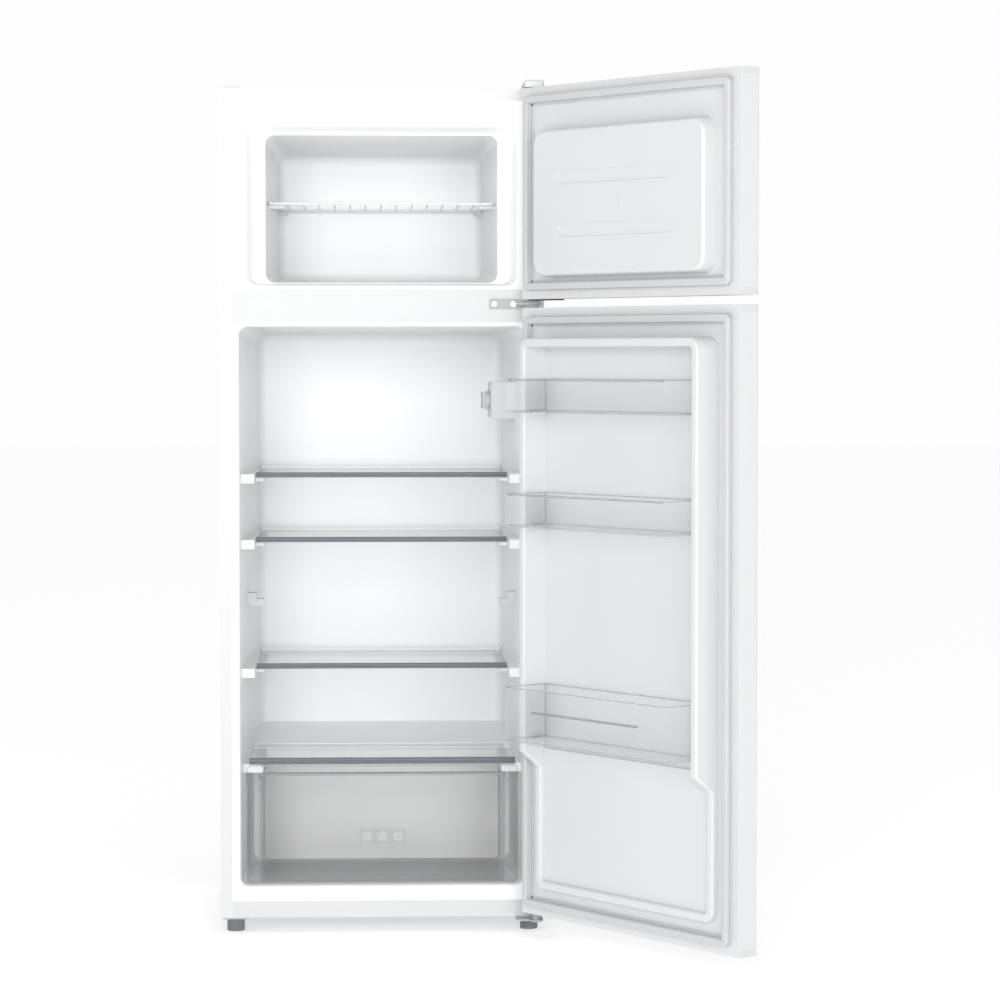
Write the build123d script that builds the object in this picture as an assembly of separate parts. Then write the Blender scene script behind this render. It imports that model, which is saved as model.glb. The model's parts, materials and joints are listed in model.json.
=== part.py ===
"""A top freezer refrigerator, built as separate sub-parts. Units are millimetres.

X runs to the right and Z up, both as seen from the front, and Y runs from front to back.
The origin is on the floor, under the centre of the closed refrigerator's footprint.
Everything on the two doors is drawn with the doors closed and written with them open.
"""
from build123d import *
import os
from math import cos, pi, sin

# ------------------------------------------------------------------ overall sizes
cabinet_w = 550.0  # over the side sheets
cabinet_h = 1406.0  # side sheets, bottom edge to top
cabinet_d = 472.0  # front flange to rear panel
foot_h = 25.0  # floor to the cabinet's bottom edge
door_t = 40.0  # outer skin to inner panel
door_gap = 13.5  # inner panel to front flange
rear_depth = 24.0  # rear panel to the back of the condenser
open_angle = 125.6  # both doors, as written

# ------------------------------------------------------------------ general clearances
slide_gap = 0.3  # under a piece that slides or lifts
side_gap = 1.0  # beside a piece that slides
pin_gap = 0.05  # radial, hinge pin or shaft in its hole
seam_gap = 0.1  # end cap to inner panel
rest_gap = 0.5  # between pieces that pass or meet without touching

# ------------------------------------------------------------------ sheets and liners
sheet_t = 1.0
flange_w = 19.5
mitre_w = 0.4
liner_t = 2.0
lip_r = 6.0
rail_h = 28.0  # lower front rail
mullion_h = 56.0
mullion_margin = 7.5  # trim to each opening
floor_wall = 55.0  # cabinet's bottom edge to the fridge floor

# ------------------------------------------------------------------ freezer compartment
freezer_side_wall = 49.0
freezer_top_wall = 65.0
freezer_open_h = 265.0
freezer_rear_wall = 100.0
freezer_recess_d = 26.0
freezer_recess_draft = 7.5
freezer_ledge_w = 21.5
freezer_draft_x = 16.0
freezer_draft_z = 16.0
freezer_r = 16.0
freezer_corner_r = 14.0  # rear wall to the other walls
freezer_shelf_rise = 140.0  # above the compartment's floor
freezer_shelf_d = 286.0
freezer_shelf_back = 14.0  # back rod to the rear wall
freezer_shelf_side = 3.0  # end of a rod to the side wall
freezer_rod_r = 2.2
freezer_wire_r = 1.4
freezer_wire_pitch = 27.0
shelf_clip_h = 6.0
shelf_clip_reach = 12.0
shelf_clip_l = 18.0

# ------------------------------------------------------------------ fridge compartment
fridge_side_wall = 34.0
fridge_rear_wall = 50.0
fridge_draft_x = 21.0
fridge_draft_top = 9.0
fridge_r_front = 14.0
fridge_r_back = 24.0
fridge_corner_r = 15.0  # rear wall to the side walls, floor and ceiling
step_wall = 42.0  # foam over the compressor bay
step_rise = 204.0  # fridge floor to the step's front edge
step_back_rise = 234.0  # fridge floor to the step at the rear wall

# ------------------------------------------------------------------ glass shelves
shelf_levels = (0.660, 0.508, 0.210)  # share of the height from crisper cover to ceiling
spare_level = 0.376
shelf_side = 24.0  # shelf edge to the opening's side
shelf_front = 126.0  # shelf front to the front flange
shelf_back_gap = 10.0
glass_t = 4.0
trim_h = 8.5
trim_d = 13.0
rear_trim_d = 9.0
rib_clear = 2.0  # closed door's raised frame to the front of a rib
rib_h = 15.0
rib_reach = 12.0  # ledge under a shelf edge
support_h = 22.0
support_l = 26.0

# ------------------------------------------------------------------ crisper
crisper_h = 200.0  # drawer front
crisper_front = 26.0  # drawer front to the front flange
crisper_side = 9.0  # drawer front edge to the opening's side
crisper_wall = 2.5
crisper_panel_t = 4.0
crisper_body_side = 30.0  # drawer body to the opening's side
crisper_rim_drop = 22.0  # drawer sides below the top of its front
crisper_back_gap = 8.0
cover_h = 10.5
cover_front = 46.0  # cover front to the front flange
cover_side = 13.0  # cover trim edge to the opening's side
icon_size = 22.0
icon_pitch = 26.0
icon_line = 1.2
icon_height = 0.6
icon_rise = 78.0

# ------------------------------------------------------------------ doors
door_inset = 2.5  # door side, inward from the side sheets
door_top_drop = 1.5  # freezer door top below the cabinet top
door_bottom_rise = 13.0  # fridge door bottom above the cabinet's bottom edge
door_split_h = 14.5
cap_h = 12.0
skin_t = 1.0
panel_t = 2.5
gasket_inset = 14.0
gasket_w = 18.0
gasket_gap = 0.5  # closed gasket to the front flange
gasket_rib = 1.2
door_r = 5.0
plug_height = 26.0
plug_draft = 4.0
plug_r = 26.0
plug_side_gap = 9.0  # plug to the opening of the compartment
pad_depth = 1.5
pad_h = 22.0
pad_w = 290.0
badge_w = 34.0
badge_h = 20.0
dyke_height = 47.0
dyke_w = 15.0
dyke_side_gap = 17.0  # dyke to the opening's side
dyke_top_gap = 20.0
dyke_bottom_gap = 6.0
dyke_r = 20.0
dyke_edge_r = 4.0
low_dyke_height = 12.0
low_step_rise = 213.0  # fridge floor to where the dyke starts to deepen
deep_step_rise = 240.0  # fridge floor to where it is full depth
low_panel_height = 5.0
low_panel_rise = 244.0

# ------------------------------------------------------------------ door bins
bin_reach = 95.0  # inner panel to the bin's front
bin_back_gap = 3.0
bin_side_gap = 3.0
bin_wall = 2.2
bin_r = 14.0
bin_rim = 4.0
upper_bin_level = 0.808  # share of the height from crisper cover to ceiling
middle_bin_level = 0.552
lower_bin_level = 0.070
small_bin_h = 54.0
large_bin_h = 89.0
large_bin_notch = 36.0
large_bin_ear = 62.0
lug_h = 7.0
lug_l = 26.0
lug_reach = 8.0

# ------------------------------------------------------------------ hinges, screws and feet
pin_r = 3.0
pin_side = 15.0  # pin axis to the cabinet's side
pin_depth = 20.0  # pin axis to the outer face of the doors
pin_reach = 9.0
bore_h = 11.0
hinge_t = 3.0
hinge_in = 18.0  # hinge plate's inner edge to the pin axis
hinge_out = 10.0  # and its outer edge
hinge_base = 78.0  # length on the cabinet
plate_w = 50.0
plate_h = 17.0
plate_side = 43.0  # plate's outer edge to the cabinet's side
screw_r = 2.0
screw_head_r = 4.4
screw_head_h = 2.4
screw_l = 9.0
hinge_cover_h = 12.0
hinge_cover_wall = 1.5
stop_t = 2.0
stop_l = 70.0
stop_w = 26.0
cap_w = 30.0
cap_l = 60.0
cap_t = 3.0
plug_head_r = 3.6
plug_head_h = 0.8
foot_r = 15.0
foot_side = 24.5
foot_front = 27.0
foot_stud_r = 4.0
foot_stud_rise = 12.0  # above the cabinet's bottom edge
foot_flutes = 24
foot_flute_r = 1.1
rear_foot_back = 35.0

# ------------------------------------------------------------------ controls
housing_reach = 51.0  # wall of the opening to the housing's inner face
housing_drop = 95.0  # ceiling to the housing's top
housing_h = 63.0
housing_front = 158.0
housing_l = 124.0
housing_wall = 2.0
housing_r = 5.0
knob_r = 15.5
knob_t = 14.0
knob_from_front = 34.0
knob_shaft_r = 3.0
lens_l = 46.0
lens_h = 40.0
lens_t = 2.0
bulb_r = 9.0
bulb_l = 26.0
switch_rise = 60.0  # below the ceiling
switch_h = 20.0
switch_w = 12.0
switch_l = 30.0
switch_front = 10.0  # switch body to the front flange
button_r = 2.6
button_reach = 2.5  # button's tip beyond the front flange
button_gap = 0.8  # closed door's pad to the button
button_pad_r = 3.0
button_travel = 5.0

# ------------------------------------------------------------------ cooling unit
bay_d = 150.0
bay_front_h = 190.0
bay_h = 225.0
bay_slope_l = 60.0
tray_t = 2.0
tray_flange = 60.0
compressor_w = 176.0
compressor_d = 126.0
compressor_h = 128.0
compressor_x = 80.0
seam_w = 3.0
seam_h = 6.0
grommet_r = 9.0
grommet_h = 12.0
foot_plate_t = 3.0
relay_w = 34.0
relay_d = 58.0
relay_h = 66.0
inlet_r = 5.0
pan_h = 30.0
pan_wall = 2.0
tube_r = 2.5
coil_pitch = 52.0
coil_side = 44.0  # coil's outer edge to the cabinet's side
coil_top = 60.0
coil_bottom = 290.0
wire_r = 0.7
wire_pitch = 21.0
drier_r = 9.0
drier_l = 82.0
evaporator_t = 1.5
back_plate_w = 330.0
back_plate_h = 420.0
drain_r = 7.0

# ------------------------------------------------------------------ planes and positions
cab_x = cabinet_w / 2
cab_top = foot_h + cabinet_h
y_front = -(door_t + door_gap + cabinet_d + rear_depth) / 2
y_panel = y_front + door_t
y_face = y_panel + door_gap
y_rear = y_face + cabinet_d
y_liner = y_face + sheet_t
y_foam = y_liner + liner_t

freezer_top = cab_top - freezer_top_wall
freezer_floor = freezer_top - freezer_open_h
mullion_top = freezer_floor - mullion_margin
mullion_bottom = mullion_top - mullion_h
fridge_top = mullion_bottom - mullion_margin
fridge_floor = foot_h + floor_wall
freezer_x = cab_x - freezer_side_wall
fridge_x = cab_x - fridge_side_wall
y_freezer_back = y_rear - freezer_rear_wall
y_fridge_back = y_rear - fridge_rear_wall
y_bay = y_rear - bay_d
y_step = y_bay - step_wall

cover_top = fridge_floor + side_gap + crisper_h + slide_gap + cover_h
storage_h = fridge_top - cover_top
shelf_x = fridge_x - shelf_side
y_shelf = y_face + shelf_front
y_shelf_back = y_fridge_back - shelf_back_gap

pin_x = cab_x - pin_side
pin_y = y_front + pin_depth
pin_axis = Axis((pin_x, pin_y, 0), (0, 0, 1))
door_x = cab_x - door_inset
freezer_door_top = cab_top - door_top_drop
door_split = mullion_bottom + mullion_h / 2 + 3.0
freezer_door_bottom = door_split + door_split_h / 2
fridge_door_top = door_split - door_split_h / 2
fridge_door_bottom = foot_h + door_bottom_rise
y_gasket = y_face - gasket_gap

dyke_x = fridge_x - dyke_side_gap
dyke_in_x = dyke_x - dyke_w
dyke_top = fridge_top - dyke_top_gap
dyke_bottom = fridge_floor + dyke_bottom_gap
plug_x = freezer_x - plug_side_gap
bin_x = dyke_in_x - bin_side_gap
coil_y = y_rear + rear_depth - 2 * wire_r - tube_r


# ------------------------------------------------------------------ drawing helpers
def block(x0, x1, y0, y1, z0, z1):
    """A box between two corners."""
    centre = Location(((x0 + x1) / 2, (y0 + y1) / 2, (z0 + z1) / 2))
    return centre * Box(x1 - x0, y1 - y0, z1 - z0)


def rod(x, y, z, radius, length):
    """A cylinder that stands on a point."""
    return Location((x, y, z)) * Cylinder(radius, length, align=(Align.CENTER, Align.CENTER, Align.MIN))


def rod_along(start, end, radius):
    """A cylinder between two points."""
    line = Line(start, end)
    return sweep(Plane(line @ 0, z_dir=line % 0) * Circle(radius), path=line)


def frontal(y, z, x=0.0):
    """A sketch plane that faces the front, with its up direction along Z."""
    return Plane(origin=(x, y, z), x_dir=(1, 0, 0), z_dir=(0, -1, 0))


def rounded(half_w, z0, z1, radius, y, x=0.0):
    """A rounded rectangle facing the front."""
    return frontal(y, (z0 + z1) / 2, x) * RectangleRounded(2 * half_w, z1 - z0, radius)


def slab(half_w, z0, z1, radius, y0, y1, x=0.0):
    """A rounded plate facing the front, from y0 back to y1."""
    return extrude(rounded(half_w, z0, z1, radius, y0, x), amount=y0 - y1)


def across(points, x0, x1):
    """A solid across the width, from its outline as (y, z) points."""
    face = Plane(origin=(x0, 0, 0), x_dir=(0, 1, 0), z_dir=(1, 0, 0)) * make_face(
        Polyline(*points, close=True)
    )
    return extrude(face, amount=x1 - x0)


def tube(points, radius, bend):
    """A round bar along straight runs joined by equal bends."""
    path = FilletPolyline(*points, radius=bend)
    return sweep(Plane(path @ 0, z_dir=path % 0) * Circle(radius), path=path)


def both_sides(shape):
    """The shape with its mirror image across the width."""
    return [shape, mirror(shape, about=Plane.YZ)]


def group(shapes):
    """Separate solids kept as one sub-part."""
    solids = [solid for shape in shapes for solid in shape.solids()]
    return Compound(children=solids)


def union(shapes):
    """One solid of several that touch or overlap."""
    shapes = list(shapes)
    return shapes[0].fuse(*shapes[1:]) if len(shapes) > 1 else shapes[0]


def hinge_screws(points, direction):
    """Pan-head screws: their heads stand on the points, and their shanks run along the direction."""
    screws = []
    for point in points:
        start = Vector(point)
        axis = Vector(direction)
        head = rod_along(start - axis * screw_head_h, start, screw_head_r)
        shank = rod_along(start, start + axis * screw_l, screw_r)
        screws.append(head + shank)
    return screws


# ------------------------------------------------------------------ compartments
def lip(half_w, z0, z1, radius, skin):
    """The rounded mouth of a compartment, grown by a skin."""
    steps = 5
    faces = []
    for i in range(steps + 1):
        turn = pi / 2 * i / steps
        grow = skin + (lip_r - skin) * (1 - sin(turn))
        y = y_liner + lip_r - (lip_r - skin) * cos(turn)
        faces.append(rounded(half_w + grow, z0 - grow, z1 + grow, radius + grow, y))
    return loft(faces, ruled=True)


def freezer_space(skin):
    """Air inside the freezer, grown by a skin."""
    mouth = lip(freezer_x, freezer_floor, freezer_top, freezer_r, skin)
    y_ledge = y_face + freezer_recess_d
    narrow = freezer_recess_draft - skin
    recess = loft(
        [
            rounded(
                freezer_x + skin,
                freezer_floor - skin,
                freezer_top + skin,
                freezer_r + skin,
                y_liner + lip_r,
            ),
            rounded(
                freezer_x - narrow,
                freezer_floor + narrow / 3,
                freezer_top - narrow,
                freezer_r + skin,
                y_ledge + skin,
            ),
        ],
        ruled=True,
    )
    inner_x = freezer_x - freezer_recess_draft - freezer_ledge_w
    z0 = freezer_floor + freezer_recess_draft / 2
    z1 = freezer_top - freezer_recess_draft - 4.0
    pocket = loft(
        [
            rounded(inner_x + skin, z0 - skin, z1 + skin, freezer_r + skin, y_ledge),
            rounded(
                inner_x - freezer_draft_x + skin,
                z0 + freezer_draft_z * 0.7 - skin,
                z1 - freezer_draft_z + skin,
                freezer_r + skin,
                y_freezer_back + skin,
            ),
        ],
        ruled=True,
    )
    pocket = fillet(pocket.faces().sort_by(Axis.Y)[-1].edges(), freezer_corner_r + skin)
    return union([mouth, recess, pocket])


def shelf_top(share):
    """Height of a shelf's top."""
    return cover_top + share * storage_h


def shelf_rib(top, skin):
    """One side rib under and beside a shelf, shrunk by a skin, on the right-hand wall."""
    wall = fridge_x + 5.0
    beside = block(
        shelf_x + side_gap + skin,
        wall,
        y_panel + dyke_height + rib_clear + skin,
        y_fridge_back + 5.0,
        top - rib_h + skin,
        top - skin,
    )
    under = block(
        shelf_x - rib_reach + skin,
        wall,
        y_shelf + trim_d + skin,
        y_fridge_back + 5.0,
        top - rib_h + skin,
        top - trim_h - slide_gap - skin,
    )
    return beside + under


def cover_ledge(skin):
    """Side ledge under the crisper cover, shrunk by a skin, on the right-hand wall."""
    top = cover_top - cover_h - slide_gap
    return block(
        shelf_x - rib_reach + skin,
        fridge_x + 5.0,
        y_face + cover_front + trim_d + side_gap + skin,
        y_step + 5.0,
        top - rib_h + skin,
        top - skin,
    )


def fridge_space(skin):
    """Air inside the fridge, grown by a skin: a drafted pocket less the step and the shelf ribs."""
    mouth = lip(fridge_x, fridge_floor, fridge_top, fridge_r_front, skin)
    pocket = loft(
        [
            rounded(
                fridge_x + skin,
                fridge_floor - skin,
                fridge_top + skin,
                fridge_r_front + skin,
                y_liner + lip_r,
            ),
            rounded(
                fridge_x - fridge_draft_x + skin,
                fridge_floor - skin,
                fridge_top - fridge_draft_top + skin,
                fridge_r_back + skin,
                y_fridge_back + skin,
            ),
        ],
        ruled=True,
    )
    pocket = fillet(pocket.faces().sort_by(Axis.Y)[-1].edges(), fridge_corner_r + skin)
    beyond = y_fridge_back + 20.0
    step = across(
        [
            (y_step + skin, fridge_floor - 20.0),
            (y_step + skin, fridge_floor + step_rise - skin),
            (beyond, fridge_floor + step_back_rise - skin + 4.0),
            (beyond, fridge_floor - 20.0),
        ],
        -cab_x,
        cab_x,
    )
    ribs = [shelf_rib(shelf_top(share), skin) for share in shelf_levels] + [cover_ledge(skin)]
    solids = [shape for rib in ribs for shape in both_sides(rib)]
    return (mouth + pocket).cut(step, *solids)


def bay_outline(skin):
    """The compressor bay's outline as (y, z) points, grown by a skin."""
    return [
        (y_bay - skin, foot_h - 1.0),
        (y_bay - skin, foot_h + bay_front_h + skin),
        (y_bay + bay_slope_l, foot_h + bay_h + skin),
        (y_rear + 1.0, foot_h + bay_h + skin),
        (y_rear + 1.0, foot_h - 1.0),
    ]


# ------------------------------------------------------------------ cabinet
def outer_wrapper():
    """Top and side sheet with a mitred front flange."""
    outer = block(-cab_x, cab_x, y_face, y_rear, foot_h, cab_top)
    inside = block(
        -cab_x + sheet_t, cab_x - sheet_t, y_face + sheet_t, y_rear + 1, foot_h - 1, cab_top - sheet_t
    )
    window = block(
        -cab_x + flange_w, cab_x - flange_w, y_face - 1, y_face + 2, foot_h - 1, cab_top - flange_w
    )
    sheet = outer - inside - window
    cuts = []
    for side in (-1, 1):
        middle = Location((side * (cab_x - flange_w / 2), y_face, cab_top - flange_w / 2))
        cuts.append(middle * Rot(0, -side * 45, 0) * Box(mitre_w, 3 * sheet_t, 2 * flange_w))
    corners = block(-cab_x, cab_x, y_face + sheet_t, y_rear, foot_h, cab_top)
    trimmed = [cut - corners for cut in cuts]
    return sheet.cut(*trimmed)


def rear_panel():
    """Sheet over the foam's back, above the compressor bay, with four blocks that carry the coil."""
    inner_x = cab_x - sheet_t
    sheet = block(-inner_x, inner_x, y_rear - sheet_t, y_rear, foot_h + bay_h + sheet_t, cab_top - sheet_t)
    half, z0, runs = coil_extent()
    blocks = []
    for x in (-half + 36.0, half - 36.0):
        for i in (2, runs - 3):
            z = z0 + i * coil_pitch
            seat = rod_along((x - 7.0, coil_y, z), (x + 7.0, coil_y, z), tube_r + pin_gap)
            blocks.append(block(x - 6.0, x + 6.0, y_rear - sheet_t / 2, coil_y, z - 8.0, z + 8.0) - seat)
    return union([sheet] + blocks)


def base_sheet():
    """Sheet under the foam, bent up over the compressor bay."""
    inner_x = cab_x - sheet_t
    shell = across(bay_outline(sheet_t), -inner_x, inner_x) - across(bay_outline(0.0), -cab_x, cab_x)
    bay = shell & block(-inner_x, inner_x, y_bay - sheet_t, y_rear - sheet_t, foot_h + sheet_t, cab_top)
    bottom = block(-inner_x, inner_x, y_foam, y_bay, foot_h, foot_h + sheet_t)
    holes = [
        rod(side * foot_x(), y_face + foot_front, foot_h - 1.0, foot_stud_r + 2.0, 5.0)
        for side in (-1, 1)
    ]
    return (bay + bottom).cut(drain_tube(), *screws().solids(), *holes)


def front_rail():
    """Lower front rail between the side flanges."""
    inner_x = cab_x - flange_w
    return block(-inner_x, inner_x, y_face, y_foam, foot_h, foot_h + rail_h)


def mullion_trim():
    """Strip over the partition between the two compartments."""
    inner_x = cab_x - flange_w
    return block(-inner_x, inner_x, y_face, y_foam, mullion_bottom, mullion_top)


def liner_flange(z0, z1):
    """Flat front of a liner, tucked behind the steel flange."""
    inner_x = cab_x - flange_w
    return block(-inner_x, inner_x, y_liner, y_foam, z0, z1)


def freezer_liner():
    """Formed plastic lining of the freezer."""
    shell = freezer_space(liner_t) + liner_flange(mullion_top, cab_top - flange_w)
    return shell - freezer_space(0.0)


def fridge_liner():
    """Formed plastic lining of the fridge, with the shelf ribs."""
    shell = fridge_space(liner_t) + liner_flange(foot_h + rail_h, mullion_bottom)
    return shell - fridge_space(0.0)


def freezer_evaporator():
    """Aluminium plate wrapped round the freezer liner, inside the foam."""
    wrap = freezer_space(liner_t + evaporator_t) - freezer_space(liner_t)
    start = y_face + freezer_recess_d + 50.0
    return wrap & block(-cab_x, cab_x, start, y_rear - 20.0, foot_h, cab_top)


def evaporators():
    """The freezer's wrap and the plate behind the fridge's rear wall, both inside the foam."""
    y0 = y_fridge_back + liner_t
    z1 = fridge_top - 70.0
    plate = block(-back_plate_w / 2, back_plate_w / 2, y0, y0 + evaporator_t, z1 - back_plate_h, z1)
    return group([freezer_evaporator(), plate])


def drain_tube():
    """Spout from the fridge's rear wall down to the evaporation pan."""
    z0 = foot_h + bay_h - 30.0
    z1 = foot_h + bay_h + 40.0
    return rod(compressor_x, y_rear - bay_d / 2 + 30.0, z0, drain_r, z1 - z0)


def hinge_screw_points():
    """Where the screws stand: middle, top and bottom hinges, in that order, with their directions."""
    plate_x1 = cab_x - plate_side
    plate_x0 = plate_x1 - plate_w
    middle = [
        (plate_x0 + 8.0, y_face - hinge_t, door_split), (plate_x1 - 10.0, y_face - hinge_t, door_split)
    ]
    top = [
        (pin_x - side, y_face + reach, cab_top + hinge_t)
        for side, reach in ((8, 22), (-2, 44), (8, 66))
    ]
    bottom = [(pin_x - side, y_face + reach, foot_h - hinge_t) for side, reach in ((14, 60), (-6, 60))]
    return [(middle, (0, 1, 0)), (top, (0, 0, -1)), (bottom, (0, 0, 1))]


def screws():
    """All the hinge screws."""
    return group([s for points, way in hinge_screw_points() for s in hinge_screws(points, way)])


def spare_hole_covers():
    """Cap over the spare holes on the cabinet top, and plugs opposite the middle hinge."""
    points, _ = hinge_screw_points()[0]
    x0 = -cab_x + 7.0
    y0 = y_face + 6.0
    cap = block(x0, x0 + cap_w, y0, y0 + cap_l, cab_top, cab_top + cap_t)
    plugs = [fillet(cap.edges().group_by(Axis.Z)[-1], 1.0)]
    for x, _, z in points:
        head = rod_along((-x, y_face - plug_head_h, z), (-x, y_face, z), plug_head_r)
        stem = rod_along((-x, y_face, z), (-x, y_face + screw_l, z), screw_r)
        plugs.append(head + stem)
    return group(plugs)


def cabinet_insulation():
    """Foam between the sheets and the liners."""
    inner_x = cab_x - sheet_t
    body = block(-inner_x, inner_x, y_foam, y_rear - sheet_t, foot_h + sheet_t, cab_top - sheet_t)
    bay = across(bay_outline(sheet_t), -cab_x, cab_x)
    pockets = [
        rod(x, y_face + foot_front, foot_h, foot_stud_r + 2.0, foot_stud_rise + 2.0)
        for x in (-foot_x(), foot_x())
    ]
    body = body.cut(bay, freezer_space(liner_t), fridge_space(liner_t))
    fixed = evaporators().solids() + screws().solids() + spare_hole_covers().solids()
    return body.cut(drain_tube(), *pockets, *fixed)


# ------------------------------------------------------------------ hinges and feet
def foot_x():
    """Distance of the feet from the middle."""
    return cab_x - foot_side


def top_hinge():
    """Plate on the cabinet top with a pin down into the freezer door."""
    z0 = cab_top
    plate = block(pin_x - hinge_in, pin_x + hinge_out, pin_y, y_face + hinge_base, z0, z0 + hinge_t)
    nose = rod(pin_x, pin_y, z0, hinge_out, hinge_t)
    pin = rod(
        pin_x, pin_y, freezer_door_top - pin_reach, pin_r, z0 + hinge_t - freezer_door_top + pin_reach
    )
    return (plate + nose + pin).cut(*screws().solids())


def middle_hinge():
    """Plate on the mullion, an arm between the doors and a pin into each."""
    x1 = cab_x - plate_side
    plate = block(
        x1 - plate_w,
        x1 + 10.0,
        y_face - hinge_t,
        y_face,
        door_split - plate_h / 2,
        door_split + plate_h / 2,
    )
    z0 = door_split - hinge_t / 2
    arm = block(x1 - 6.0, pin_x + 8.0, pin_y, y_face, z0, z0 + hinge_t)
    nose = rod(pin_x, pin_y, z0, 8.0, hinge_t)
    pin = rod(pin_x, pin_y, fridge_door_top - pin_reach, pin_r, door_split_h + 2 * pin_reach)
    return (plate + arm + nose + pin).cut(*screws().solids())


def foot_plate(hinged):
    """Plate under a front corner, with the foot's hole; the right-hand one carries the lower pin."""
    z0 = foot_h - hinge_t
    x1 = cab_x - sheet_t
    front = pin_y if hinged else y_face + 4.0
    plate = block(x1 - 48.0, x1 - 2.0, front, y_face + hinge_base, z0, foot_h)
    hole = rod(foot_x(), y_face + foot_front, z0 - 1.0, foot_stud_r + pin_gap, hinge_t + 2.0)
    if hinged:
        nose = rod(pin_x, pin_y, z0, 11.0, hinge_t)
        collar = rod(pin_x, pin_y, foot_h, 6.5, fridge_door_bottom - stop_t - rest_gap - foot_h)
        pin = rod(pin_x, pin_y, foot_h, pin_r, fridge_door_bottom + pin_reach - foot_h)
        plate = plate + nose + collar + pin
    return plate.cut(hole, *screws().solids())


def bottom_hinge():
    """Right-hand corner plate with the fridge door's lower pin."""
    return foot_plate(hinged=True)


def left_foot_plate():
    """Left-hand corner plate, which holds a foot only."""
    return mirror(foot_plate(hinged=False), about=Plane.YZ)


def top_hinge_cover():
    """Plastic cap over the top hinge."""
    z0 = cab_top
    margin = hinge_cover_wall + side_gap
    x0 = pin_x - hinge_in - margin
    x1 = pin_x + hinge_out + margin
    y0 = pin_y - hinge_out - margin
    y1 = y_face + hinge_base + margin
    outer = block(x0, x1, y0, y1, z0, z0 + hinge_cover_h)
    outer = fillet(outer.edges().group_by(Axis.Z)[-1] + outer.edges().filter_by(Axis.Z), 3.0)
    w = hinge_cover_wall
    inner = block(x0 + w, x1 - w, y0 + w, y1 - w, z0 - 1.0, z0 + hinge_cover_h - w)
    return (outer - inner).solid()


def hinge_covers():
    """The cap over the top hinge, the cap over the spare holes, and the plugs."""
    return group([top_hinge_cover(), spare_hole_covers()])


def door_stop(bottom):
    """Strip under a door that meets its hinge when the door is wide open."""
    x1 = pin_x + 9.0
    y0 = pin_y - stop_w / 2
    strip = block(x1 - stop_l, x1, y0, y0 + stop_w, bottom - stop_t, bottom)
    strip = fillet(strip.edges().filter_by(Axis.Z), 4.0)
    return strip - rod(pin_x, pin_y, bottom - stop_t - 1.0, pin_r + 1.5, stop_t + 2.0)


def front_foot(side):
    """Fluted levelling foot with its stud."""
    x = side * foot_x()
    y = y_face + foot_front
    top = foot_h - hinge_t - rest_gap
    body = rod(x, y, 0.0, foot_r, top)
    body = chamfer(body.edges().group_by(Axis.Z)[0] + body.edges().group_by(Axis.Z)[-1], 1.0)
    flutes = []
    for i in range(foot_flutes):
        turn = 2 * pi * i / foot_flutes
        flutes.append(rod(x + foot_r * cos(turn), y + foot_r * sin(turn), 3.0, foot_flute_r, top))
    stud = rod(x, y, top - 1.0, foot_stud_r, foot_h + foot_stud_rise - top + 1.0)
    return body.cut(*flutes) + stud


def rear_feet():
    """Fixed feet under the base tray."""
    y = y_rear - rear_foot_back
    return group([rod(side * foot_x(), y, 0.0, foot_r, foot_h) for side in (-1, 1)])


# ------------------------------------------------------------------ controls in the fridge
def housing_box(grow):
    """Outline of the thermostat housing, grown by a margin, running into the right-hand wall."""
    x0 = fridge_x - housing_reach - grow
    y0 = y_face + housing_front - grow
    z1 = fridge_top - housing_drop + grow
    z0 = z1 - housing_h - 2 * grow
    return block(x0, cab_x, y0, y0 + housing_l + 2 * grow, z0, z1)


def housing_space():
    """The housing's box with its inner edges rounded."""
    box = housing_box(0.0)
    face = box.faces().sort_by(Axis.X)[0]
    return fillet(face.edges(), housing_r)


def knob_centre():
    """Where the knob's axis meets the housing."""
    z = fridge_top - housing_drop - housing_h / 2
    return (fridge_x - housing_reach, y_face + housing_front + knob_from_front, z)


def lens_block():
    """The lamp lens, let into the housing's inner face."""
    x, _, z = knob_centre()
    y1 = y_face + housing_front + housing_l - 10.0
    return block(x - 1.0, x - 1.0 + lens_t + 1.0, y1 - lens_l, y1, z - lens_h / 2, z + lens_h / 2)


def bulb():
    """Lamp bulb behind the lens."""
    lens = lens_block()
    middle = lens.center()
    x0 = middle.X + lens_t
    y = middle.Y
    glass = rod_along((x0 + 3.0, y, middle.Z), (x0 + 3.0 + bulb_l - bulb_r, y, middle.Z), bulb_r)
    nose = Location((x0 + 3.0, y, middle.Z)) * Sphere(bulb_r)
    trimmed = nose & block(x0 + 0.5, x0 + 3.0, y - bulb_r, y + bulb_r, middle.Z - bulb_r, middle.Z + bulb_r)
    return glass + trimmed


def thermostat_housing():
    """Hollow housing on the right-hand wall for thermostat and lamp."""
    outer = housing_space() & fridge_space(0.0)
    w = housing_wall
    hollow = housing_box(-w) & block(
        -cab_x, fridge_x - fridge_draft_x + 2.0, y_face, y_rear, foot_h, cab_top
    )
    x, y, z = knob_centre()
    shaft_hole = rod_along((x - 1.0, y, z), (x + w + 1.0, y, z), knob_shaft_r + pin_gap)
    return outer.cut(hollow, lens_block(), shaft_hole, bulb())


def thermostat_knob():
    """Knob with a grip bar, and its shaft through the housing."""
    x, y, z = knob_centre()
    disc = rod_along((x - rest_gap, y, z), (x - rest_gap - knob_t / 2, y, z), knob_r)
    disc = fillet(disc.edges().sort_by(Axis.X)[0], 1.0)
    bar = block(
        x - rest_gap - knob_t,
        x - rest_gap - knob_t / 2 + 1.0,
        y - 3.5,
        y + 3.5,
        z - knob_r + 1,
        z + knob_r - 1,
    )
    bar = fillet(bar.edges().group_by(Axis.X)[0], 1.5)
    shaft = rod_along((x - rest_gap - 1.0, y, z), (x + housing_wall + 8.0, y, z), knob_shaft_r)
    return disc + bar + shaft


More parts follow.
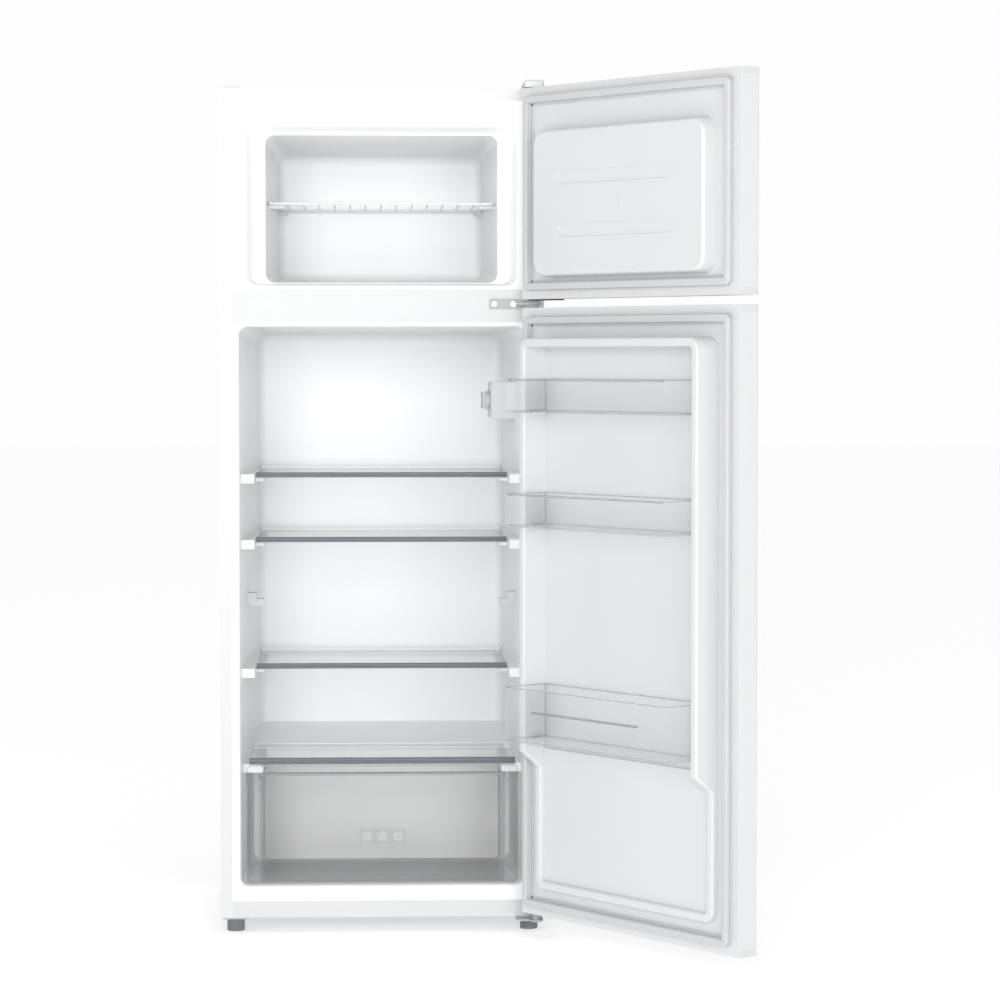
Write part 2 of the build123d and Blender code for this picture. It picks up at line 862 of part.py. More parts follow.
def switch_centre():
    """Middle of the door switch, beside the right-hand wall."""
    return (fridge_x - button_r - 5.0, y_face + switch_front, fridge_top - switch_rise)


def door_switch():
    """Switch body on the fridge wall, with a bore for its button."""
    x, y, z = switch_centre()
    box = block(x - switch_w / 2, cab_x, y, y + switch_l, z - switch_h / 2, z + switch_h / 2)
    bore = rod_along((x, y - 1.0, z), (x, y + switch_l - 4.0, z), button_r + pin_gap)
    return (box & fridge_space(0.0)) - bore


def switch_button():
    """Button that the closing door presses."""
    x, y, z = switch_centre()
    return rod_along((x, y_face - button_reach, z), (x, y + switch_l - 5.0 - button_travel, z), button_r)


def button_pad():
    """Pad on the fridge door's inner panel that meets the button."""
    x, _, z = switch_centre()
    return rod_along((x, y_panel - 0.5, z), (x, y_face - button_reach - button_gap, z), button_pad_r)


# ------------------------------------------------------------------ shelves
def glass_shelf(share):
    """A glass pane, and its front and rear trims as one group."""
    top = shelf_top(share)
    glass = block(-shelf_x, shelf_x, y_shelf + 3.0, y_shelf_back - 3.0, top - 1.5 - glass_t, top - 1.5)
    front = block(-shelf_x, shelf_x, y_shelf, y_shelf + trim_d, top - trim_h, top)
    front = fillet(front.edges().group_by(Axis.Y)[0].filter_by(Axis.X), 2.0)
    rear = block(-shelf_x, shelf_x, y_shelf_back - rear_trim_d, y_shelf_back, top - trim_h, top + 4.0)
    return glass, group([front - glass, rear - glass])


def crisper_cover():
    """The glass over the drawer, and its front and rear trims as one group."""
    top = cover_top
    y0 = y_face + cover_front
    y1 = y_step - 1.5
    glass = block(-shelf_x, shelf_x, y0 + 3.0, y1 - 3.0, top - 2.0 - glass_t, top - 2.0)
    half = fridge_x - cover_side
    front = block(-half, half, y0, y0 + trim_d, top - cover_h, top)
    front = fillet(front.edges().group_by(Axis.Y)[0].filter_by(Axis.X), 3.0)
    rear = block(-shelf_x, shelf_x, y1 - rear_trim_d, y1, top - cover_h + 1.0, top)
    return glass, group([front - glass, rear - glass])


def spare_supports():
    """Fridge wall supports for one more shelf."""
    top = shelf_top(spare_level)
    step = support_h / 2
    y0 = y_shelf + trim_d
    low = block(shelf_x - rib_reach, cab_x, y0, y0 + support_l, top - support_h, top - step)
    high = block(shelf_x, cab_x, y0, y0 + support_l, top - step, top)
    right = (low + high) & fridge_space(0.0)
    return both_sides(right)


def freezer_shelf_ends():
    """Half-widths of the shelf's front and back rods, with their places along Y."""
    inner_x = freezer_x - freezer_recess_draft - freezer_ledge_w
    y_ledge = y_face + freezer_recess_d
    y1 = y_freezer_back - freezer_shelf_back
    y0 = max(y1 - freezer_shelf_d, y_ledge + 20.0)
    slope = freezer_draft_x / (y_freezer_back - y_ledge)
    front = inner_x - slope * (y0 - y_ledge) - freezer_shelf_side
    back = inner_x - slope * (y1 - y_ledge) - freezer_shelf_side
    return front, y0, back, y1


def freezer_shelf():
    """Coated wire shelf: a rod frame with cross wires."""
    front, y0, back, y1 = freezer_shelf_ends()
    z = freezer_floor + freezer_shelf_rise
    corners = [(-front, y0, z), (front, y0, z), (back, y1, z), (-back, y1, z)]
    rods = [rod_along(corners[i], corners[(i + 1) % 4], freezer_rod_r) for i in range(4)]
    knuckles = [Location(corner) * Sphere(freezer_rod_r) for corner in corners]
    count = int(back / freezer_wire_pitch)
    wires = []
    for i in range(-count, count + 1):
        x = i * freezer_wire_pitch
        wires.append(rod_along((x, y0, z + freezer_rod_r), (x, y1, z + freezer_rod_r), freezer_wire_r))
    return union(rods + knuckles + wires)


def freezer_shelf_clips():
    """Four ledges on the freezer's side walls, under the shelf."""
    _, y0, back, y1 = freezer_shelf_ends()
    z1 = freezer_floor + freezer_shelf_rise - freezer_rod_r - slide_gap
    air = freezer_space(0.0)
    clips = []
    for y in (y0 + 8.0, y1 - 8.0 - shelf_clip_l):
        clip = block(back - shelf_clip_reach, cab_x, y, y + shelf_clip_l, z1 - shelf_clip_h, z1)
        clips.extend(both_sides(clip & air))
    return clips


def shelf_supports():
    """The freezer's four clips and the fridge's two spare supports."""
    return group(freezer_shelf_clips() + spare_supports())


# ------------------------------------------------------------------ crisper drawer
def crisper_drawer():
    """Clear drawer: a wide front panel and a narrower open box behind it."""
    z0 = fridge_floor + side_gap
    z1 = z0 + crisper_h
    y0 = y_face + crisper_front
    y1 = y_step - crisper_back_gap
    half = fridge_x - crisper_side
    panel = slab(half, z0, z1, 9.0, y0, y0 + crisper_panel_t)
    body_x = fridge_x - crisper_body_side
    rim = z1 - crisper_rim_drop
    body = slab(body_x, z0, z1, 8.0, y0 + 1.0, y1) & block(-cab_x, cab_x, y0, y1, z0, rim)
    w = crisper_wall
    inner = slab(body_x - w, z0 + w, z1 + 20.0, 6.0, y0 + crisper_panel_t, y1 - w)
    grip = block(-body_x, body_x, y0 + 1.0, y0 + 22.0, z1 - 14.0 - w, z1 - 14.0)
    frames = []
    for i in (-1, 0, 1):
        outline = Rectangle(icon_size, icon_size) - Rectangle(
            icon_size - 2 * icon_line, icon_size - 2 * icon_line
        )
        place = frontal(y0 + 0.1, z0 + icon_rise, i * icon_pitch)
        frames.append(extrude(place * outline, amount=icon_height + 0.1))
    return union([panel, body - inner, grip] + frames)


# ------------------------------------------------------------------ doors
def door_skin(z0, z1):
    """Folded sheet over a door's front and sides, between its end caps."""
    outer = block(-door_x, door_x, y_front, y_panel - panel_t, z0 + cap_h, z1 - cap_h)
    outer = fillet(outer.edges().filter_by(Axis.Z).group_by(Axis.Y)[0], door_r)
    inner = block(-door_x + skin_t, door_x - skin_t, y_front + skin_t, y_panel, z0, z1)
    inner = fillet(inner.edges().filter_by(Axis.Z).group_by(Axis.Y)[0], door_r - skin_t)
    return outer - inner


def end_cap(z0, pin_z, grip_z):
    """Moulded cap over one end of a door, with a bore for the hinge pin and maybe a finger recess."""
    cap = block(-door_x, door_x, y_front, y_panel - panel_t - seam_gap, z0, z0 + cap_h)
    cap = fillet(cap.edges().filter_by(Axis.Z).group_by(Axis.Y)[0], door_r)
    bore = rod(pin_x, pin_y, pin_z, pin_r + pin_gap, bore_h)
    if grip_z is None:
        return cap - bore
    recess = block(-door_x + 40.0, -door_x + 190.0, y_front + 4.0, y_front + 24.0, grip_z, grip_z + 9.0)
    return cap - bore - recess


def end_caps(z0, z1, grip_below, grip_above):
    """Both end caps of a door."""
    low = end_cap(z0, z0 - 1.0, z0 - 1.0 if grip_below else None)
    high = end_cap(z1 - cap_h, z1 - bore_h + 1.0, z1 - 8.0 if grip_above else None)
    return group([low, high])


def gasket(z0, z1):
    """Magnetic seal round a door's inner panel, with ribs on its outer flank."""
    half = door_x - gasket_inset
    low = z0 + gasket_inset
    high = z1 - gasket_inset
    mid = (y_panel + y_gasket) / 2
    base = slab(half, low, high, 3.0, y_panel, mid)
    crown = slab(half - gasket_rib, low + gasket_rib, high - gasket_rib, 3.0, mid, y_gasket)
    opening = slab(half - gasket_w, low + gasket_w, high - gasket_w, 2.0, y_panel - 1, y_gasket + 1)
    return base + crown - opening


def freezer_relief(shrink):
    """The raised middle of the freezer door's inner panel, shrunk by a skin."""
    z0 = freezer_floor + plug_side_gap
    z1 = freezer_top - plug_side_gap
    y0 = y_panel - panel_t
    y1 = y_panel + plug_height - shrink
    draft = plug_draft
    foot = rounded(plug_x - shrink, z0 + shrink, z1 - shrink, plug_r, y0)
    crown = rounded(plug_x - draft - shrink, z0 + draft + shrink, z1 - draft - shrink, plug_r - 2.0, y1)
    return loft([foot, crown], ruled=True)


def freezer_pads():
    """Two shallow bands sunk in the raised middle."""
    y1 = y_panel + plug_height
    middle = (freezer_floor + freezer_top) / 2
    pads = []
    for z in (middle + 40.0, middle - 47.0):
        pads.append(
            slab(pad_w / 2, z - pad_h / 2, z + pad_h / 2, pad_h / 2 - 1.0, y1 - pad_depth, y1 + 5.0)
        )
    return pads


def freezer_door_panel():
    """Inner panel of the freezer door."""
    plate = block(-door_x, door_x, y_panel - panel_t, y_panel, freezer_door_bottom, freezer_door_top)
    raised = freezer_relief(0.0)
    crest = raised.faces().sort_by(Axis.Y)[-1]
    raised = fillet(crest.edges(), 6.0)
    badge_z = (freezer_floor + freezer_top) / 2 - 4.0
    y1 = y_panel + plug_height
    badge = slab(badge_w / 2, badge_z - badge_h / 2, badge_z + badge_h / 2, 3.0, y1 - 1.0, y1 + 0.6)
    return ((plate + raised).cut(*freezer_pads()) + badge) - freezer_relief(panel_t + pad_depth)


def dyke_profile(shrink):
    """Side view of the fridge door's raised frame, shrunk by a skin."""
    deep = y_panel + dyke_height - shrink
    low = y_panel + low_dyke_height - shrink
    y0 = y_panel - panel_t
    z_low = fridge_floor + low_step_rise + shrink
    z_deep = fridge_floor + deep_step_rise + shrink
    return [(y0, 0.0), (low, 0.0), (low, z_low), (deep, z_deep), (deep, cab_top), (y0, cab_top)]


def fridge_relief(shrink):
    """The raised frame of the fridge door's inner panel, shrunk by a skin."""
    y0 = y_panel - panel_t
    y1 = y_panel + dyke_height
    z0 = dyke_bottom + shrink
    z1 = dyke_top - shrink
    outer = slab(dyke_x - shrink, z0, z1, dyke_r - shrink, y0, y1)
    wall = dyke_w - 2 * shrink
    inner = slab(dyke_x - shrink - wall, z0 + wall, z1 - wall, dyke_r - dyke_w + 3.0, y0 - 1, y1 + 1)
    return (outer - inner) & across(dyke_profile(shrink), -cab_x, cab_x)


def low_panel(shrink):
    """The slightly raised lower field of the fridge door's inner panel, shrunk by a skin."""
    y0 = y_panel - panel_t
    y1 = y_panel + low_panel_height - shrink
    half = dyke_in_x + 1.0 - shrink
    return block(
        -half, half, y0, y1, dyke_bottom + dyke_w - 1.0 + shrink, fridge_floor + low_panel_rise - shrink
    )


def bin_levels():
    """Bottom and height of each bin: upper, middle and lower."""
    levels = (
        (upper_bin_level, small_bin_h), (middle_bin_level, small_bin_h), (lower_bin_level, large_bin_h)
    )
    return [(cover_top + share * storage_h, height) for share, height in levels]


def bin_lugs():
    """Lugs on the inner sides of the dyke that the bins rest on."""
    lugs = []
    for bottom, _ in bin_levels():
        z1 = bottom - slide_gap
        lug = block(
            dyke_in_x - lug_reach, dyke_in_x + 1.0, y_panel + 8.0, y_panel + 8.0 + lug_l, z1 - lug_h, z1
        )
        lugs.extend(both_sides(lug))
    return lugs


def fridge_door_panel():
    """Inner panel of the fridge door: raised frame, lower field and bin lugs."""
    plate = block(-door_x, door_x, y_panel - panel_t, y_panel, fridge_door_bottom, fridge_door_top)
    frame = fridge_relief(0.0)
    crest = [e for e in frame.edges() if e.center().Y > y_panel + low_dyke_height - 0.1]
    frame = fillet(crest, dyke_edge_r)
    shell = union([plate, frame, low_panel(0.0), button_pad()] + bin_lugs())
    return shell.cut(fridge_relief(panel_t + 1.0), low_panel(panel_t + 1.0))


def door_foam(z0, z1, reliefs):
    """Foam inside a door."""
    inner_x = door_x - skin_t
    core = block(-inner_x, inner_x, y_front + skin_t, y_panel - panel_t, z0 + cap_h, z1 - cap_h)
    core = fillet(core.edges().filter_by(Axis.Z).group_by(Axis.Y)[0], door_r - skin_t)
    return union([core] + reliefs)


# ------------------------------------------------------------------ door bins
def door_bin(bottom, height, notch):
    """Clear bin with a rounded front, and a lowered front wall between two ears if notched."""
    y0 = y_panel + bin_back_gap
    y1 = y_panel + bin_reach
    outer = block(-bin_x, bin_x, y0, y1, bottom, bottom + height)
    outer = fillet(outer.edges().filter_by(Axis.Z).group_by(Axis.Y)[-1], bin_r)
    w = bin_wall
    inner = block(-bin_x + w, bin_x - w, y0 + w, y1 - w, bottom + w, bottom + height + 1.0)
    inner = fillet(inner.edges().filter_by(Axis.Z).group_by(Axis.Y)[-1], bin_r - w)
    shell = outer - inner
    rim = block(
        -bin_x + bin_r,
        bin_x - bin_r,
        y1 - w - bin_rim,
        y1 - w + 0.5,
        bottom + height - w,
        bottom + height,
    )
    if not notch:
        return shell + rim
    z = bottom + height - notch
    gap = bin_x - large_bin_ear
    points = [(-gap + 10.0, z), (gap - 10.0, z), (gap, bottom + height + 1), (-gap, bottom + height + 1)]
    face = frontal(y1 + 1.0, 0.0) * make_face(Polyline(*points, close=True))
    opening = extrude(face, amount=-(bin_r + 1.0))
    low_rim = block(-gap + 12.0, gap - 12.0, y1 - w - bin_rim, y1 - w + 0.5, z - w, z)
    return (shell - opening) + low_rim


# ------------------------------------------------------------------ cooling unit
def base_tray():
    """Folded tray across the back, under the compressor."""
    inner_x = cab_x - sheet_t
    deck = block(-inner_x, inner_x, y_bay, y_rear, foot_h, foot_h + tray_t)
    flanges = both_sides(block(inner_x - tray_t, inner_x, y_bay, y_rear, foot_h, foot_h + tray_flange))
    return union([deck] + flanges)


def compressor_foot_points():
    """The four places where the compressor stands."""
    y = y_rear - bay_d / 2 + 8.0
    dx = compressor_w / 2 - 4.0
    dy = compressor_d / 2 - 14.0
    return [(compressor_x + sx * dx, y + sy * dy) for sx in (-1, 1) for sy in (-1, 1)]


def compressor_base():
    """Height of the compressor's foot plate."""
    return foot_h + tray_t + grommet_h


def compressor():
    """Sealed shell with a seam, on its foot plate, with a stub for the suction pipe."""
    y = y_rear - bay_d / 2 + 8.0
    z0 = compressor_base() + foot_plate_t
    place = Location((compressor_x, y, z0))
    shell = place * extrude(
        RectangleRounded(compressor_w, compressor_d, compressor_d / 2 - 6.0), amount=compressor_h
    )
    top = shell.edges().group_by(Axis.Z)[-1]
    shell = fillet(top, 34.0)
    shell = fillet(shell.edges().group_by(Axis.Z)[0], 12.0)
    seam_z = Location((compressor_x, y, z0 + compressor_h * 0.52))
    seam = seam_z * extrude(
        RectangleRounded(
            compressor_w + 2 * seam_w, compressor_d + 2 * seam_w, compressor_d / 2 - 4.0
        ), amount=seam_h
    )
    plate = block(
        compressor_x - compressor_w / 2 - 12.0,
        compressor_x + compressor_w / 2 + 12.0,
        y - compressor_d / 2 + 2.0,
        y + compressor_d / 2 - 2.0,
        compressor_base(),
        z0 + 4.0,
    )
    plate = fillet(plate.edges().filter_by(Axis.Z), 10.0)
    return union([shell, seam, plate])


def grommets():
    """Rubber mounts under the compressor."""
    z = foot_h + tray_t
    return group([rod(x, y, z, grommet_r, grommet_h) for x, y in compressor_foot_points()])


def relay_cover():
    """Box on the compressor's side, with the round cord inlet underneath."""
    x1 = compressor_x - compressor_w / 2
    y = y_rear - bay_d / 2 + 8.0
    z0 = compressor_base() + foot_plate_t + 22.0
    box = block(x1 - relay_w, x1 + 12.0, y - relay_d / 2, y + relay_d / 2, z0, z0 + relay_h)
    box = fillet(box.faces().sort_by(Axis.X)[0].edges(), 4.0)
    inlet = rod(x1 - relay_w / 2, y, z0 - 1.0, inlet_r, 14.0)
    return box.cut(inlet, compressor())


def evaporation_pan():
    """Open pan on top of the compressor."""
    y = y_rear - bay_d / 2 + 8.0
    z0 = compressor_base() + foot_plate_t + compressor_h
    half_x = compressor_w / 2 - 4.0
    half_y = compressor_d / 2 - 4.0
    w = pan_wall
    outer = block(compressor_x - half_x, compressor_x + half_x, y - half_y, y + half_y, z0, z0 + pan_h)
    outer = fillet(outer.edges().filter_by(Axis.Z), 10.0)
    inner = block(
        compressor_x - half_x + w,
        compressor_x + half_x - w,
        y - half_y + w,
        y + half_y - w,
        z0 + w,
        z0 + pan_h + 1,
    )
    return outer - fillet(inner.edges().filter_by(Axis.Z), 10.0 - w)


def coil_extent():
    """Half-width, bottom and number of runs of the condenser coil."""
    z0 = foot_h + coil_bottom
    runs = 2 * int((cab_top - coil_top - z0) / coil_pitch / 2) + 1
    return cab_x - coil_side, z0, runs


def condenser_tube():
    """Serpentine tube on the back, with its lower end led down into the bay."""
    half, z0, runs = coil_extent()
    side = 1
    points = [(half - 40.0, coil_y, foot_h + bay_h - 60.0), (half - 40.0, coil_y, z0), (-half, coil_y, z0)]
    for i in range(1, runs):
        z = z0 + i * coil_pitch
        points += [(-side * half, coil_y, z), (side * half, coil_y, z)]
        side = -side
    return tube(points, tube_r, coil_pitch / 2 - 0.5)


def condenser_wires():
    """Upright wires on both faces of the coil."""
    half, z0, runs = coil_extent()
    z1 = z0 + (runs - 1) * coil_pitch
    reach = half - coil_pitch
    count = int(2 * reach / wire_pitch)
    wires = []
    for i in range(count + 1):
        x = -count * wire_pitch / 2 + i * wire_pitch
        for side in (-1, 1):
            y = coil_y + side * (tube_r + wire_r)
            wires.append(rod(x, y, z0 - 10.0, wire_r, z1 - z0 + 20.0))
    return group(wires)


def filter_drier():
    """Copper drier standing in the bay."""
    half, _, _ = coil_extent()
    x = -half + 60.0
    y = y_rear - 30.0
    z0 = foot_h + 60.0
    body = rod(x, y, z0, drier_r, drier_l)
    body = fillet(body.edges().filter_by(GeomType.CIRCLE), 5.0)
    neck = rod(x, y, z0 - 14.0, tube_r, drier_l + 28.0)
    return body + neck


def discharge_pipe():
    """Pipe from the compressor to the coil's lower end."""
    half, _, _ = coil_extent()
    x0 = compressor_x + compressor_w / 2 + seam_w
    z0 = compressor_base() + foot_plate_t + 80.0
    x1 = half - 40.0
    y = y_rear - bay_d / 2 + 8.0
    top = foot_h + bay_h - 60.0
    points = [(x0, y, z0), (x1, y, z0), (x1, y + 40.0, z0), (x1, coil_y, z0 + 14.0), (x1, coil_y, top)]
    return tube(points, tube_r, 9.0)


def suction_pipe():
    """Pipe from the compressor up to the bay's ceiling."""
    x0 = compressor_x - compressor_w / 2 - relay_w - 20.0
    y0 = y_rear - bay_d / 2 + 20.0
    z0 = compressor_base() + foot_plate_t + 12.0
    x_shell = compressor_x - compressor_w / 2 - seam_w - 0.5
    points = [(x_shell, y0, z0), (x0, y0, z0), (x0, y0, foot_h + bay_h)]
    return tube(points, tube_r + 1.0, 12.0)


# ------------------------------------------------------------------ the whole refrigerator
def cabinet_nodes():
    """Sub-parts that stay still."""
    return {
        "outer_wrapper": outer_wrapper().cut(*screws().solids()),
        "rear_panel": rear_panel(),
        "base_sheet": base_sheet(),
        "base_tray": base_tray(),
        "cabinet_insulation": cabinet_insulation(),
        "freezer_liner": freezer_liner(),
        "fridge_liner": fridge_liner(),
        "mullion_trim": mullion_trim().cut(*screws().solids(), *spare_hole_covers().solids()),
        "front_rail": front_rail(),
        "evaporators": evaporators(),
        "drain_tube": drain_tube(),
        "top_hinge": top_hinge(),
        "middle_hinge": middle_hinge(),
        "bottom_hinge": bottom_hinge(),
        "left_foot_plate": left_foot_plate(),
        "hinge_screws": screws(),
        "hinge_covers": hinge_covers(),
        "rear_feet": rear_feet(),
        "thermostat_housing": thermostat_housing(),
        "lamp_lens": lens_block(),
        "lamp_bulb": bulb(),
        "door_switch": door_switch(),
        "shelf_supports": shelf_supports(),
        "compressor": compressor(),
        "compressor_grommets": grommets(),
        "relay_cover": relay_cover(),
        "evaporation_pan": evaporation_pan(),
        "condenser_tube": condenser_tube(),
        "condenser_wires": condenser_wires(),
        "filter_drier": filter_drier(),
        "refrigerant_pipes": group([discharge_pipe(), suction_pipe()]),
    }


def moving_nodes():
    """Sub-parts that slide or turn in the cabinet."""
    nodes = {
        "front_foot_left": front_foot(-1),
        "front_foot_right": front_foot(1),
        "thermostat_knob": thermostat_knob(),
        "door_switch_button": switch_button(),
        "freezer_shelf": freezer_shelf(),
        "crisper_drawer": crisper_drawer(),
    }
    shelves = {
        "upper_shelf": shelf_levels[0], "middle_shelf": shelf_levels[1], "lower_shelf": shelf_levels[2]
    }
    for name, share in shelves.items():
        nodes[f"{name}_glass"], nodes[f"{name}_trims"] = glass_shelf(share)
    nodes["crisper_cover_glass"], nodes["crisper_cover_trims"] = crisper_cover()
    return nodes


def door_nodes():
    """Sub-parts on the two doors, closed."""
    zf0, zf1 = freezer_door_bottom, freezer_door_top
    zr0, zr1 = fridge_door_bottom, fridge_door_top
    fridge_fill = [fridge_relief(panel_t + 1.0), low_panel(panel_t + 1.0)]
    upper, middle, lower = bin_levels()
    return {
        "freezer_door_skin": door_skin(zf0, zf1),
        "freezer_door_end_caps": end_caps(zf0, zf1, grip_below=True, grip_above=False),
        "freezer_door_panel": freezer_door_panel(),
        "freezer_door_foam": door_foam(zf0, zf1, [freezer_relief(panel_t + pad_depth)]),
        "freezer_door_gasket": gasket(zf0, zf1),
        "freezer_door_stop": door_stop(zf0),
        "fridge_door_skin": door_skin(zr0, zr1),
        "fridge_door_end_caps": end_caps(zr0, zr1, grip_below=False, grip_above=True),
        "fridge_door_panel": fridge_door_panel(),
        "fridge_door_foam": door_foam(zr0, zr1, fridge_fill),
        "fridge_door_gasket": gasket(zr0, zr1),
        "fridge_door_stop": door_stop(zr0),
        "upper_bin": door_bin(*upper, 0.0),
        "middle_bin": door_bin(*middle, 0.0),
        "lower_bin": door_bin(*lower, large_bin_notch),
    }


def main():
    """Write every sub-part to parts/."""
    os.makedirs("parts", exist_ok=True)
    nodes = {**cabinet_nodes(), **moving_nodes()}
    for name, shape in door_nodes().items():
        nodes[name] = shape.rotate(pin_axis, open_angle)
    for name, shape in nodes.items():
        export_step(shape, f"parts/{name}.step")
    print(len(nodes), "sub-parts written")


if __name__ == "__main__":
    main()
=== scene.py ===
"""Visual model of a top freezer refrigerator that stands with both doors open.

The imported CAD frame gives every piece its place. This script dresses each CAD node in a
procedural finish, makes the wire and seal work again in finer detail, and adds the camera,
the floor and the light. Lengths are metres: X to the right, Y to the back, Z up.
"""
import json
import logging
from dataclasses import dataclass, field
from enum import Enum
from math import cos, pi, radians, sin, tau
from typing import Any, Optional, Sequence, Union

import bmesh
import bpy
from mathutils import Matrix, Vector


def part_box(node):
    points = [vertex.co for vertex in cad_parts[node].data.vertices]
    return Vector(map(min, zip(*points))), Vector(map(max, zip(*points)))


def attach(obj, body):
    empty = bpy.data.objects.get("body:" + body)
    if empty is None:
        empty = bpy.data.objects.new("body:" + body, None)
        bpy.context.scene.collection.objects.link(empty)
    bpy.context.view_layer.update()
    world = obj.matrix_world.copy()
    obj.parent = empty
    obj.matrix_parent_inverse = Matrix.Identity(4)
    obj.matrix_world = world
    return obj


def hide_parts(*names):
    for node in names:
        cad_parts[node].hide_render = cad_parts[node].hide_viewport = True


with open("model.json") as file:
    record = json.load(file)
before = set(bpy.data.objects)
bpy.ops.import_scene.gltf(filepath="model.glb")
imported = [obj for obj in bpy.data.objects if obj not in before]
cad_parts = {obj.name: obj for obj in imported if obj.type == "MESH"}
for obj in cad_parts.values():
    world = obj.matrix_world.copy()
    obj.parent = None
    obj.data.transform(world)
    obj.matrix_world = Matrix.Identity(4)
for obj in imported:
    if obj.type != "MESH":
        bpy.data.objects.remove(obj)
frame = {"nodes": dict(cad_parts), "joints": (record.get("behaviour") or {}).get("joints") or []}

log = logging.getLogger("refrigerator")

Colour = tuple[float, float, float]
Number = Union[int, float]


# ---------------------------------------------------------------- shader and geometry nodes
class Wire:
    """One output socket of a node, with arithmetic that adds Math nodes."""

    def __init__(self, graph: "Graph", socket: bpy.types.NodeSocket) -> None:
        """Wraps a socket.

        Args:
            graph: The tree that the socket belongs to.
            socket: The output socket.
        """
        self.graph = graph
        self.socket = socket

    def _math(self, operation: str, a: Any, b: Any) -> "Wire":
        """Adds one Math node on two values."""
        return self.graph.node("ShaderNodeMath", {"operation": operation}, {0: a, 1: b})

    def __add__(self, other: Any) -> "Wire":
        """Sum."""
        return self._math("ADD", self, other)

    def __radd__(self, other: Any) -> "Wire":
        """Sum, reflected."""
        return self._math("ADD", other, self)

    def __sub__(self, other: Any) -> "Wire":
        """Difference."""
        return self._math("SUBTRACT", self, other)

    def __rsub__(self, other: Any) -> "Wire":
        """Difference, reflected."""
        return self._math("SUBTRACT", other, self)

    def __mul__(self, other: Any) -> "Wire":
        """Product."""
        return self._math("MULTIPLY", self, other)

    def __rmul__(self, other: Any) -> "Wire":
        """Product, reflected."""
        return self._math("MULTIPLY", other, self)

    def clamp(self, low: float, high: float) -> "Wire":
        """Keeps the value between two limits."""
        return self._math("MAXIMUM", self._math("MINIMUM", self, high), low)


class Graph:
    """A node tree with one method that makes any node."""

    def __init__(self, tree: bpy.types.NodeTree) -> None:
        """Wraps a tree.

        Args:
            tree: The shader or geometry tree to fill.
        """
        self.tree = tree

    def node(self, kind: str, settings: Optional[dict[str, Any]] = None,
             inputs: Optional[dict[Union[int, str], Any]] = None, output: Union[int, str] = 0) -> Wire:
        """Adds a node.

        Args:
            kind: The node's type name.
            settings: Attributes, set before the sockets.
            inputs: Socket values or wires, by index or name.
            output: The output socket wanted.

        Returns:
            The wanted output.
        """
        made = self.tree.nodes.new(kind)
        for name, value in (settings or {}).items():
            setattr(made, name, value)
        for key, value in (inputs or {}).items():
            if isinstance(value, Wire):
                self.tree.links.new(value.socket, made.inputs[key])
            elif value is not None:
                made.inputs[key].default_value = value
        return Wire(self, made.outputs[output] if made.outputs else None)

    def mix_colour(self, factor: Any, a: Any, b: Any) -> Wire:
        """Mixes two colours with the Mix node.

        Args:
            factor: Share of the second colour.
            a: First colour, a tuple or a wire.
            b: Second colour, a tuple or a wire.

        Returns:
            The mixed colour.
        """
        pair = [(*c, 1.0) if isinstance(c, tuple) else c for c in (a, b)]
        return self.node("ShaderNodeMix", {"data_type": "RGBA"},
                         {0: factor, 6: pair[0], 7: pair[1]}, output=2)

    def noise(self, scale: float, detail: float = 3.0, roughness: float = 0.5,
              at: Optional[Wire] = None) -> Wire:
        """Noise on Object coordinates.

        Args:
            scale: Features per metre.
            detail: Octaves.
            roughness: Weight of the finer octaves.
            at: Another vector to read it at.

        Returns:
            A value from 0 to 1.
        """
        where = at or self.node("ShaderNodeTexCoord", output="Object")
        return self.node("ShaderNodeTexNoise", {},
                         {"Vector": where, "Scale": scale, "Detail": detail, "Roughness": roughness})

    def cells(self, scale: float) -> Wire:
        """Distance to the middle of the nearest cell, on Object coordinates.

        Args:
            scale: Cells per metre.

        Returns:
            The distance, as a share of a cell.
        """
        where = self.node("ShaderNodeTexCoord", output="Object")
        return self.node("ShaderNodeTexVoronoi", {"feature": "F1"}, {"Vector": where, "Scale": scale},
                         output="Distance")

    def bump(self, height: Wire, strength: float, distance: float,
             normal: Optional[Wire] = None) -> Wire:
        """A Bump node, chained to another if one is given.

        Args:
            height: Height from 0 to 1.
            strength: How much of it shows.
            distance: Height of 1, in metres.
            normal: The bump underneath.

        Returns:
            The bent normal.
        """
        return self.node("ShaderNodeBump", {}, {
            "Height": height, "Strength": strength, "Distance": distance, "Normal": normal})


